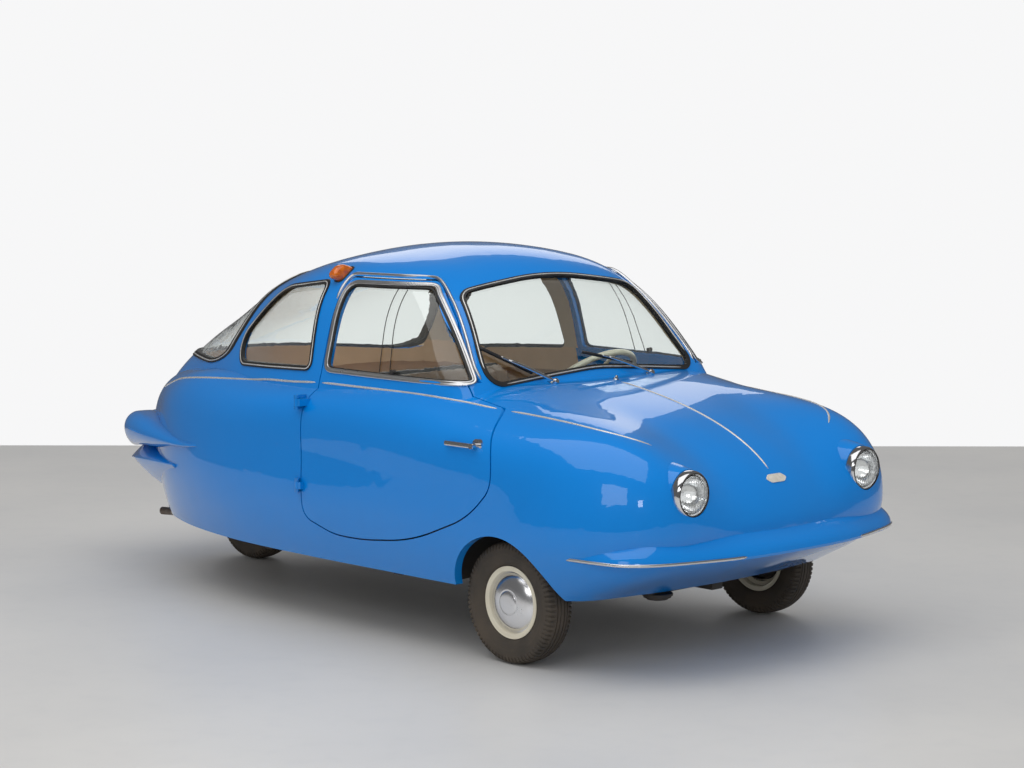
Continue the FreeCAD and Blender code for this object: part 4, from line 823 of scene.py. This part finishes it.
# Tail fins: full rounded forms over the ridges.
# Every row holds a station y, x and z of the ridge there, and its reach outwards, inwards, up and down
fins = {
    "upper": np.array([
        (1430, 655, 560, 30, 30, 3, 3), (1600, 668, 549, 42, 60, 10, 8), (1765, 640, 538, 52, 80, 22, 16),
        (2006, 580, 538, 62, 110, 42, 44), (2200, 520, 541, 66, 140, 54, 62), (2330, 465, 538, 66, 150, 58, 74),
        (2416, 405, 527, 60, 112, 52, 78), (2456, 374, 517, 50, 92, 44, 62), (2476, 354, 510, 30, 66, 28, 30),
        (2484, 334, 507, 5, 12, 5, 5)], float),
    "lower": np.array([
        (1800, 622, 456, 60, 40, 10, 30), (2000, 562, 448, 160, 60, 54, 110),
        (2200, 488, 434, 238, 20, 90, 170), (2290, 448, 424, 203, 10, 96, 124),
        (2345, 418, 417, 174, 10, 96, 66), (2390, 392, 409, 148, 10, 94, 22), (2428, 366, 405, 122, 8, 84, 9),
        (2440, 352, 404, 108, 6, 70, 6)], float),
    "stations": 64, "ring": 48, "innerBend": 0.72, "bends": {"tailFin": (1.0, 1.0), "tailCrease": (1.8, 1.4)},
}


def tailFin(name, table, sign):
    low, high = table[0, 0], table[-1, 0]
    at = low + (high - low) * np.sin(np.linspace(0, math.pi / 2, fins["stations"]))
    tip, z, outer, inner, up, down = curve(table, at)
    points = []
    for i, y in enumerate(at):
        for k in range(fins["ring"]):
            angle = 2 * math.pi * k / fins["ring"]
            c, t = math.cos(angle), math.sin(angle)
            above, below = fins["bends"][name.split("_")[0]]
            wide, bend = (outer[i], above if t > 0 else below) if c > 0 else (inner[i], fins["innerBend"])
            x = tip[i] - outer[i] + wide * math.copysign(abs(c) ** bend, c)
            points.append((x * sign, y, z[i] + (up[i] if t > 0 else down[i]) * math.copysign(abs(t) ** bend, t)))
    return addMesh(name, points, sweepFaces(len(at), fins["ring"], False), paints["doorPaint"], "car")


for side, sign in (("right", -1), ("left", 1)):
    tailFin("tailFin_" + side, fins["upper"], sign)
    tailFin("tailCrease_" + side, fins["lower"], sign)
print("tail fins made")

# Headlamps: rounded bezel, bowl reflector and bulb behind the ribbed lens
lamp = {
    "middle": (421, -569, 580), "wayBack": (0, 1, 0),
    "bezel": [(22, 69), (22, 73.6), (6, 74), (-3, 73.4), (-9, 71.4), (-13, 68.6), (-14.6, 66.2), (-14.2, 64.8),
              (-12, 64.3), (9.8, 64.3), (10.6, 58.6), (12, 58.4), (14, 69)],
    "collar": [(16, 70), (16, 76), (24, 79), (40, 83), (64, 88), (90, 92), (90, 70)],
    "ring": [(-12.6, 67.8), (-14.9, 66.9), (-15.6, 65.6), (-15.1, 64.2), (-13.8, 63.4), (-12.6, 64.2)],
    "bowl": [(11.4, 57.8), (20, 54.6), (34, 46.4), (48, 34), (58, 20), (62.6, 8), (63.4, 0.02), (65, 0.02),
             (64.4, 9), (59.6, 21.6), (49.4, 35.8), (35, 48.2), (21, 56.6), (11.4, 58.6)],
    "bulb": [(63, 0.02), (63, 10), (50, 10), (49, 8.6), (43, 8.4), (35, 7.6), (29, 5), (26.6, 0.02)],
    "screw": [(0, 0.02), (0, 4.2), (4.4, 4.2), (6, 2.8), (6.4, 0.02)],
    "screwPlace": (0, -2, -72.2), "screwWay": (0, -0.5, -0.86),
    # piece, profile, finish, slot and steps round
    "turned": [
        ("lampBezel_", "bezel", "chrome", "chrome", 96), ("lampPod_", "collar", "doorPaint", "blue_paint", 96),
        ("lampRing_", "ring", "steelDark", "steel_dark", 96), ("lampBowl_", "bowl", "reflector", "chrome", 72),
        ("lampBulb_", "bulb", "reflector", "lamp_glass", 32)],
}
for side, sign in (("right", -1), ("left", 1)):
    middle = np.array(lamp["middle"], float) * (sign, 1, 1)
    for label, profile, paint, slot, steps in lamp["turned"]:
        spun(label + side, lamp[profile], middle, lamp["wayBack"], paints[paint], "car", steps)
    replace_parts(bpy.data.objects["lampBezel_" + side], "headlamp_" + side)
    spun("lampScrew_" + side, lamp["screw"], middle + lamp["screwPlace"], lamp["screwWay"], paints["steelBare"],
         "car", 16)
print("headlamps made")

# Tail lamps, indicator bases, badge, washer nozzle, horn and lid handle
fitting = {
    "tailPlace": (192, 2300, 684), "tailWay": (0, 0.8, 0.6),
    "tailLens": [(-9, 0.02), (-9, 25.6), (12, 25.6), (17, 23.6), (21, 18), (23.4, 9), (24, 0.02)],
    "tailRing": [(-10, 26), (-10, 30.6), (8, 31.2), (11, 29.6), (12.4, 27.4), (11.6, 26)],
    "indicatorY": 985, "indicatorFrom": 1000, "indicatorWay": (490.0, 190.0), "indicatorReach": 560,
    "indicator": [(-24, -32, 18), (24, -32, 18), (24, 32, 18), (-24, 32, 18)],
    "indicatorFoot": [(-26, -34, 19), (26, -34, 19), (26, 34, 19), (-26, 34, 19)],
    "indicatorLevels": [(1.0, -5), (1.0, 12), (0.97, 20), (0.88, 28), (0.7, 33.5), (0.4, 36.5), (0.1, 37.5)],
    "badgePlace": (8, -545, 588), "badgeUp": (0, 0.34, 0.94), "badgeWay": (0, -1, 0.3),
    "badge": [(-50, 0, 5), (-30, 14.5, 16), (30, 14.5, 16), (50, 0, 5), (30, -14.5, 16), (-30, -14.5, 16)],
    "badgeLevels": [(1.0, -2), (1.0, 2.2), (0.97, 3.2), (0.9, 3.2), (0.87, 2.6), (0.8, 2.8), (0.4, 3.4),
                    (0.05, 3.5)],
    "nozzlePlace": (-2, 146, 851), "nozzleWay": (0, -0.25, 1),
    "nozzle": [(-6, 0.02), (-6, 10.5), (1, 10.5), (2.6, 8.8), (3.4, 6), (9, 5.4), (12.4, 4), (13.6, 0.02)],
    "hornPlace": (-265, -290, 221.6),
    "horn": [(0, 0.02), (0, 48), (2, 50), (8, 50), (9, 46), (15, 44), (16, 38), (21, 34), (22, 26), (23.6, 22),
             (23.6, 8), (22, 0.02)],
    "handlePlace": (0, 2380, 476), "handleWay": (0, 1, 0.1), "handleLift": (0, 28, 2), "handleHalf": 34,
    "lidRose": [(-6, 0.02), (-6, 19), (3, 19), (6, 16), (8, 9), (26, 8), (29, 6), (30, 0.02)],
}
for side, sign in (("right", -1), ("left", 1)):
    root = onSkin(np.array(fitting["tailPlace"]) * (sign, 1, 1), (0, 1, 0))[0]
    lens = spun("tailLens_" + side, fitting["tailLens"], root, fitting["tailWay"], paints["redLens"], "car")
    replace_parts(lens, "tail_lamps")
    spun("tailRing_" + side, fitting["tailRing"], root, fitting["tailWay"], paints["chrome"], "car")
    wide, high = fitting["indicatorWay"]
    way = np.array((wide * sign, 0, high)) / math.hypot(wide, high)
    across = np.cross(way, (0, 1.0, 0))
    start = np.array((0, fitting["indicatorY"], fitting["indicatorFrom"])) + way * fitting["indicatorReach"]
    amber = plate("indicatorLens_" + side, outline(fitting["indicator"], 5.0), start, (0, 1, 0), across, way,
                  fitting["indicatorLevels"], paints["amberLens"], "car")
    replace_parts(amber, "indicators")
    foot = outline(fitting["indicatorFoot"], 4.0)
    path = onSkin([start + np.array((0, 1, 0)) * a + across * b for a, b in foot], way)
    sweep("indicatorBase_" + side, path, outwards(path), arcSection(6.0, 3.4), paints["rubber"], "car")
plate("blankBadge", outline(fitting["badge"], 4.0), fitting["badgePlace"], (1, 0, 0), fitting["badgeUp"],
      fitting["badgeWay"], fitting["badgeLevels"], paints["badgeMetal"], "car")
nozzleRoot = onSkin([fitting["nozzlePlace"]], (0, 0, 1))[0]
spun("washerNozzle", fitting["nozzle"], nozzleRoot, fitting["nozzleWay"], paints["chrome"], "car", 32)
spun("hornDisc", fitting["horn"], fitting["hornPlace"], (0, 0, -1), paints["steelDark"], "car")
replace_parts(bpy.data.objects["hornDisc"], "horn")
handleRoot = onSkin([fitting["handlePlace"]], (0, 1, 0), lowerField)[0]
spun("lidRose", fitting["lidRose"], handleRoot, fitting["handleWay"], paints["chrome"], "lid")
bar = np.linspace(-fitting["handleHalf"], fitting["handleHalf"], 15)[:, None] * (1, 0, 0)
sweep("lidHandle", bar + handleRoot + fitting["handleLift"], np.tile((0, 1.0, 0), (15, 1)), arcSection(12, 8, 5),
      paints["chrome"], "lid", closed=False, taper=3)
print("small fittings made")

# Window trims: filler beads in the rubbers, door window frames, drip rails and sliding panes
window = {
    "screen": [(-492, 0, 55), (0, 32, 900), (492, 0, 55), (486, 90, 300), (412, 384, 66), (0, 430, 1400),
               (-412, 384, 66), (-486, 90, 300)],
    "rear": [(-492, 826, 60), (492, 826, 60), (462, 1040, 300), (330, 1168, 110), (-330, 1168, 110),
             (-462, 1040, 300)],
    "quarter": [(985, 866, 28), (1490, 846, 60), (1545, 930, 80), (1330, 1130, 200), (1020, 1166, 34)],
    "door": [(236, 868, 14), (900, 876, 14), (905, 1160, 30), (548, 1162, 34)],
    "frame": [(-8.5, -4), (-8.5, 3), (-7.5, 4.8), (-3.4, 5.4), (-1.6, 3.8), (1.6, 3.8), (3.4, 5.4), (7.5, 4.8),
              (8.5, 3), (8.5, -4)],
    "channel": [(-4, -8.5), (-4, 0), (-3, 1.2), (3, 1.2), (4, 0), (4, -8.5)],
    "rail": [(933, 1108), (934, 1150), (930, 1177), (916, 1190), (880, 1192), (700, 1192), (585, 1189)],
    "paneRear": [(678, 1151), (659, 1010), (640, 868)], "paneFront": [(640, 1148), (615, 1010), (590, 871)],
    "knobPlace": (572, 884),
    "knob": [(-4, 0.02), (-4, 8.5), (1, 8.5), (3, 7), (6, 6.4), (9, 8.4), (12, 8.4), (13.4, 6), (14, 0.02)],
    # distances from the windscreen's hole down its pillar
    "railFromScreen": 28, "frameFromScreen": 47, "channelFromScreen": 56,
}
screenLean = math.atan(form["screenRake"])
glassUp = np.array((0, math.sin(screenLean), math.cos(screenLean)))
glassOut = np.array((0, -math.cos(screenLean), math.sin(screenLean)))


def windowPath(kind, grow, lift):
    flat = outline(grown(window[kind], grow))
    if kind == "screen":
        points = np.array((0, form["screenY"], form["screenZ"])) + flat[:, :1] * (1, 0, 0) + flat[:, 1:] * glassUp
        return onSkin(points, glassOut, cabinField, lift)
    if kind == "rear":
        points = np.stack([flat[:, 0], np.full(len(flat), 1800.0), flat[:, 1]], 1)
        path = onSkin(points, (0, 1, 0), cabinField, lift, 700)
        path[:, 1] = np.maximum(path[:, 1], 1290 + (1300 - path[:, 2]) * 0.759)
        return path
    points = np.stack([np.full(len(flat), -560.0), flat[:, 0], flat[:, 1]], 1)
    return onSkin(points, (-1, 0, 0), cabinField, lift)


def pillarLine(grow, low, high):
    # the line at a distance from the windscreen's hole, down its right pillar
    line = windowPath("screen", grow, 0.0)
    line = line[(line[:, 0] < -400) & (line[:, 2] > low) & (line[:, 2] < high)]
    return line[np.argsort(line[:, 2])]


def besidePillar(path, grow, lift):
    # a door window's loop, held behind the pillar where its front edge would run over it
    line = pillarLine(grow, 840, 1150)
    beside = np.stack([np.interp(path[:, 2], line[:, 2], line[:, k]) for k in range(3)], 1)
    over = (path[:, 1] < beside[:, 1])[:, None]
    loop = np.where(over, np.column_stack([beside[:, :2], path[:, 2]]), path)
    corner, top = np.array(window["door"][0][:2], float), np.array(window["door"][3][:2], float)
    along = (top - corner) / np.linalg.norm(top - corner)
    off = (path[:, 1:] - corner) @ np.array((-along[1], along[0]))
    leg = (off > off.max() - 3) & (path[:, 2] > 884) & (path[:, 2] < 1142)
    low, high = loop[leg][np.argmin(loop[leg][:, 2])], loop[leg][np.argmax(loop[leg][:, 2])]
    share = ((loop[leg][:, 2] - low[2]) / (high[2] - low[2]))[:, None]
    loop[leg] = np.column_stack([(low + (high - low) * share)[:, :2] - (0, 4), loop[leg][:, 2]])
    closed = np.concatenate([loop, loop[:1]])
    length = np.concatenate([[0], np.cumsum(np.linalg.norm(np.diff(closed, axis=0), axis=1))])
    at = np.linspace(0, length[-1], round(length[-1] / 8), endpoint=False)
    loop = np.stack([np.interp(at, length, closed[:, k]) for k in range(3)], 1)
    for step in range(6):
        loop = (np.roll(loop, 1, 0) + 2 * loop + np.roll(loop, -1, 0)) / 4
    ways = outwards(loop, cabinField)
    return np.concatenate([onSkin(place, way, cabinField, lift, 60) for place, way in zip(loop, ways)])


def trimRing(name, kind, grow, lift, section, paint, body="car", mirror=1, pillar=None):
    path = windowPath(kind, grow, lift)
    if pillar:
        path = besidePillar(path, pillar, lift)
    normals = outwards(path, cabinField)
    return sweep(name, path * (mirror, 1, 1), normals * (mirror, 1, 1), section, paints[paint], body)


for label, kind, mirror in (("screen", "screen", 1), ("rear", "rear", 1), ("quarterRight", "quarter", 1),
                            ("quarterLeft", "quarter", -1)):
    trimRing("fillerBead_" + label, kind, -2.4, 3.6, arcSection(4.6, 2.0, 1.5), "fillerStrip", "car",
             mirror)
for side, mirror in (("right", 1), ("left", -1)):
    body = "door_r" if side == "right" else "door_l"
    trimRing("windowFrame_" + side, "door", 5.0, 0.0, window["frame"], "aluminium", body, mirror,
             window["frameFromScreen"])
    trimRing("windowChannel_" + side, "door", -3.4, 0.0, window["channel"], "rubber", body, mirror,
             window["channelFromScreen"])
    over = onSkin([(-560, y, z) for y, z in window["rail"]], (-1, 0, 0))
    rail = through(np.concatenate([over, pillarLine(window["railFromScreen"], 856, 1120)[::-4]]), 9.0)
    sweep("dripRail_" + side, rail * (mirror, 1, 1), outwards(rail) * (mirror, 1, 1), arcSection(11.0, 6.5, 2.0),
          paints["aluminium"], "car", closed=False, taper=3)
    for label in ("paneRear", "paneFront"):
        line = through([(-560, y, z) for y, z in window[label]], 12.0)
        edge = onSkin(line, (-1, 0, 0), cabinField, -5.6)
        sweep(label + "_" + side, edge * (mirror, 1, 1), outwards(edge, cabinField) * (mirror, 1, 1),
              arcSection(3.0, 1.6, 0.6), paints["blackTrim"], body, closed=False)
    knobRoot = onSkin([(-560, *window["knobPlace"])], (-1, 0, 0), cabinField, -6.0)[0] * (mirror, 1, 1)
    spun("paneKnob_" + side, window["knob"], knobRoot, (-mirror, 0, 0.1), paints["steelDark"], body,
         32)
print("window trims made")

# Wipers: pivot, sprung arm and rubber blade, as x and height along the glass
wipers = {
    "right": ((-240, -22), (-301, 28), (-465, 136)), "left": ((222, -22), (170, 34), (-37, 91)),
    "post": [(-16, 0.02), (-16, 9), (-4, 9), (-4, 19), (0, 19), (3, 16), (9, 12), (28, 11.4), (34, 9.4),
             (36.6, 4), (37, 0.02)],
    "rubber": [(-1.4, -5), (-1.4, 0), (-5, 1), (-5, 5), (-2.4, 8), (2.4, 8), (5, 5), (5, 1), (1.4, 0), (1.4, -5)],
    "armLift": 27, "armBow": 3, "armFall": 13.5, "rubberLift": 5.5, "bridgeLift": 13.5, "bridgeHalf": 0.12,
}


def onGlass(place, lift):
    x, h = place
    root = np.array((x, form["screenY"] + form["screenBow"] * x * x, form["screenZ"]))
    return root + glassUp * h + glassOut * lift


def alongGlass(name, places, lifts, section, paint, taper=0):
    path = [onGlass(place, lift) for place, lift in zip(places, lifts)]
    normals = np.tile(glassOut, (len(path), 1))
    return sweep(name, path, normals, section, paints[paint], "car", closed=False, taper=taper)


for side in ("right", "left"):
    pivot, low, high = (np.array(place, float) for place in wipers[side])
    post = spun("wiperPost_" + side, wipers["post"], onGlass(pivot, 0), glassOut, paints["chrome"], "car",
                32)
    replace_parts(post, "wiper_" + side)
    middle, blade = (low + high) / 2, high - low
    t = np.linspace(0, 1, 15)
    lifts = wipers["armLift"] + wipers["armBow"] * np.sin(math.pi * t) - wipers["armFall"] * t
    alongGlass("wiperArm_" + side, pivot + (middle - pivot) * t[:, None], lifts, arcSection(11.0, 4.2, 2.4),
               "chrome", 2)
    t = np.linspace(0, 1, 21)
    alongGlass("wiperBlade_" + side, low + blade * t[:, None], [wipers["rubberLift"]] * 21, wipers["rubber"],
               "rubber")
    t = np.linspace(-wipers["bridgeHalf"], wipers["bridgeHalf"], 9)
    alongGlass("wiperBridge_" + side, middle + blade * t[:, None], [wipers["bridgeLift"]] * 9,
               arcSection(8.4, 2.6, 2.6), "chrome", 2)
print("wipers made")

# Seats: stuffed cushion and backrest, swollen by cloth pressure and then seamed
seat = {
    "half": 500.0, "voxel": 0.010, "swell": 0.024, "pressure": 4.0, "seams": [-390, -260, -130, 0, 130, 260, 390],
    "seamDepth": 0.008, "seamWidth": 0.009, "frames": 20, "floor": 0.3006,
    # share of the half width, and of the outline's size there
    "levels": [(-1.0, 0.84), (-0.985, 0.93), (-0.955, 1.0), (-0.5, 1.0), (0.0, 1.0), (0.5, 1.0), (0.955, 1.0),
               (0.985, 0.93), (1.0, 0.84)],
    "cushion": [(616, 314, 30), (1096, 314, 30), (1100, 404, 44), (616, 434, 44)],
    "back": [(1058, 452, 36), (1136, 452, 30), (1236, 818, 30), (1180, 818, 34)],
}


def stuffed(name, rows, node, face, floorZ):
    flat = outline(rows, 14.0)
    middle = flat.mean(0)
    points = []
    for share, size in seat["levels"]:
        for y, z in (flat - middle) * size + middle:
            points.append((share * seat["half"], y, z))
    piece = addMesh(name, points, sweepFaces(len(seat["levels"]), len(flat), False), paints["tanLeather"], "car")
    bpy.context.view_layer.objects.active = piece
    voxels = piece.modifiers.new("voxels", "REMESH")
    voxels.mode = "VOXEL"
    voxels.voxel_size = seat["voxel"]
    bpy.ops.object.modifier_apply(modifier="voxels")
    start = np.array([tuple(v.co) for v in piece.data.vertices])
    cloth = piece.modifiers.new("cloth", "CLOTH")
    cloth.settings.use_pressure = True
    cloth.settings.uniform_pressure_force = seat["pressure"]
    cloth.settings.effector_weights.gravity = 0
    cloth.point_cache.frame_end = seat["frames"]
    for number in range(1, seat["frames"] + 1):
        bpy.context.scene.frame_set(number)
    grownPiece = piece.evaluated_get(bpy.context.evaluated_depsgraph_get())
    after = np.array([tuple(v.co) for v in grownPiece.data.vertices])
    piece.modifiers.remove(cloth)
    bpy.context.scene.frame_set(1)
    moved = after - start
    length = np.linalg.norm(moved, axis=1)
    moved *= np.minimum(1, seat["swell"] / np.maximum(length, 1e-9))[:, None]
    start = start + moved
    start[:, 2] = np.maximum(start[:, 2], floorZ)
    piece.data.vertices.foreach_set("co", start.ravel())
    piece.data.update()
    finer = piece.modifiers.new("finer", "SUBSURF")
    finer.levels = 1
    bpy.ops.object.modifier_apply(modifier="finer")
    places = np.array([tuple(v.co) for v in piece.data.vertices])
    normals = np.array([tuple(v.normal) for v in piece.data.vertices])
    facing = np.clip(normals @ np.asarray(face) * 1.6 - 0.3, 0, 1)
    seams = sum(np.exp(-((places[:, 0] - x / 1000) / seat["seamWidth"]) ** 2) for x in seat["seams"])
    places -= normals * (seams * seat["seamDepth"] * facing)[:, None]
    piece.data.vertices.foreach_set("co", places.ravel())
    piece.data.polygons.foreach_set("use_smooth", [True] * len(piece.data.polygons))
    piece.data.update()
    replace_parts(piece, node)
    return piece


stuffed("stuffedCushion", seat["cushion"], "seat_cushion", (0, 0, 1), seat["floor"])
stuffed("stuffedBackrest", seat["back"], "seat_backrest", (0, -1, 0), 0.0)
print("seats made")

# Dashboard gauge and knobs, and the button on the steering wheel
board = {
    "faceY": 330.0, "gauge": (300, 782), "knobs": [(120, 772), (180, 772), (420, 772)],
    "gaugeRing": [(-2, 37), (-2, 44), (5, 44), (8.6, 42), (9.4, 39.4), (7, 37)],
    "gaugeDial": [(0.4, 0.02), (0.4, 37.6), (2.4, 37.6), (2.4, 4), (5, 3.6), (5.4, 0.02)],
    "knob": [(-1, 0.02), (-1, 5), (8, 5), (9, 9), (16, 9.4), (19, 8), (20, 0.02)],
    "wheelMiddle": (300, 575, 785), "wheelAxis": (0, 0.64, 0.768),
    "button": [(10, 0.02), (10, 24.6), (14, 24.6), (17.6, 21), (20.6, 13), (21.8, 0.02)],
    "buttonRing": [(9, 24.8), (9, 28), (13.4, 28), (15.4, 26.6), (15, 24.8)],
}
dialPlace = (board["gauge"][0], board["faceY"], board["gauge"][1])
spun("gaugeRing", board["gaugeRing"], dialPlace, (0, 1, 0), paints["chrome"], "car")
spun("gaugeDial", board["gaugeDial"], dialPlace, (0, 1, 0), paints["creamPlastic"], "car")
for i, (x, z) in enumerate(board["knobs"]):
    spun("dashKnob_%d" % (i + 1), board["knob"], (x, board["faceY"], z), (0, 1, 0), paints["creamPlastic"], "car",
         24)
axis, hub = board["wheelAxis"], board["wheelMiddle"]
spun("hornButton", board["button"], hub, axis, paints["blackTrim"], "steering")
spun("hornButtonRing", board["buttonRing"], hub, axis, paints["chrome"], "steering")
print("cabin details made")

# Floor, light and camera
stage = {
    "floorSize": 8.7, "floorTurn": -43.9, "floorColour": (0.66, 0.65, 0.63, 1),
    "backColour": (0.93, 0.93, 0.935, 1), "fill": 0.74, "gloss": 0.13,
    "lamps": [
        ("overhead", (-1.5, -1.0, 5.2), (0, 0, 0.4), (6.0, 5.0), 120.0),
        ("keySide", (-6.0, -3.4, 3.4), (0, -0.4, 0.6), (3.2, 2.2), 45.0),
        ("spotFront", (-4.2, -6.4, 2.6), (-0.4, -1.0, 0.5), (0.9, 0.9), 20.0),
        ("backLight", (4.5, 4.5, 4.0), (0, 0.6, 0.6), (4.0, 2.5), 35.0),
    ],
}


def floorFinish():
    material = bpy.data.materials.new("paleFloor")
    material.use_nodes = True
    tree = material.node_tree
    shader = tree.nodes["Principled BSDF"]
    vector = addNode(tree, "TexCoord").outputs["Object"]
    shade = useGroup(tree, "variation", Vector=vector, Colour=stage["floorColour"],
                     Second_colour=(0.55, 0.55, 0.55, 1), Scale=0.8, Amount=0.5)
    tree.links.new(shade.outputs[0], shader.inputs["Base Color"])
    shader.inputs["Roughness"].default_value = 0.42
    return material


bpy.ops.mesh.primitive_plane_add(size=stage["floorSize"], rotation=(0, 0, math.radians(stage["floorTurn"])))
floor = bpy.context.object
floor.name = "studioFloor"
floor.data.materials.append(floorFinish())

world = bpy.data.worlds.new("studio")
bpy.context.scene.world = world
world.use_nodes = True
tree = world.node_tree
background = tree.nodes["Background"]
path = addNode(tree, "LightPath")
seen = mathNode(tree, "MAXIMUM", path.outputs["Is Camera Ray"], path.outputs["Is Transmission Ray"])
fill, gloss = (tuple(c * stage[key] for c in stage["backColour"][:3]) + (1,) for key in ("fill", "gloss"))
around = mixColour(tree, path.outputs["Is Glossy Ray"], fill, gloss)
tree.links.new(mixColour(tree, seen, around, stage["backColour"]), background.inputs["Color"])
background.inputs["Strength"].default_value = 1.0

for name, place, target, size, power in stage["lamps"]:
    light = bpy.data.lights.new(name, "AREA")
    light.shape = "RECTANGLE"
    light.size, light.size_y = size
    light.energy = power
    source = bpy.data.objects.new(name, light)
    bpy.context.scene.collection.objects.link(source)
    source.location = place
    source.rotation_euler = (Vector(target) - Vector(place)).to_track_quat("-Z", "Y").to_euler()

# The camera stands where the photograph was taken; the focal length is in pixels
view = {"azimuth": -43.928, "elevation": 5.808, "roll": 0.068, "place": (-5.836825, -6.316295, 1.652848),
        "focal": 2416.084, "frameWidth": 1024}
azimuth, elevation = math.radians(view["azimuth"]), math.radians(view["elevation"])
ahead = -Vector((math.sin(azimuth) * math.cos(elevation), -math.cos(azimuth) * math.cos(elevation),
                 math.sin(elevation)))
right = ahead.cross(Vector((0, 0, 1))).normalized()
up = right.cross(ahead)
roll = math.radians(view["roll"])
right, up = math.cos(roll) * right + math.sin(roll) * up, -math.sin(roll) * right + math.cos(roll) * up
camera = bpy.data.objects.new("camera", bpy.data.cameras.new("camera"))
bpy.context.scene.collection.objects.link(camera)
camera.matrix_world = Matrix((
    (right.x, up.x, -ahead.x, view["place"][0]), (right.y, up.y, -ahead.y, view["place"][1]),
    (right.z, up.z, -ahead.z, view["place"][2]), (0, 0, 0, 1)))
camera.data.sensor_width = 36
camera.data.lens = view["focal"] / view["frameWidth"] * camera.data.sensor_width
camera.data.clip_end = 200
bpy.context.scene.camera = camera
bpy.context.scene.view_settings.view_transform = "Standard"
print("stage set")

bpy.context.view_layer.update()
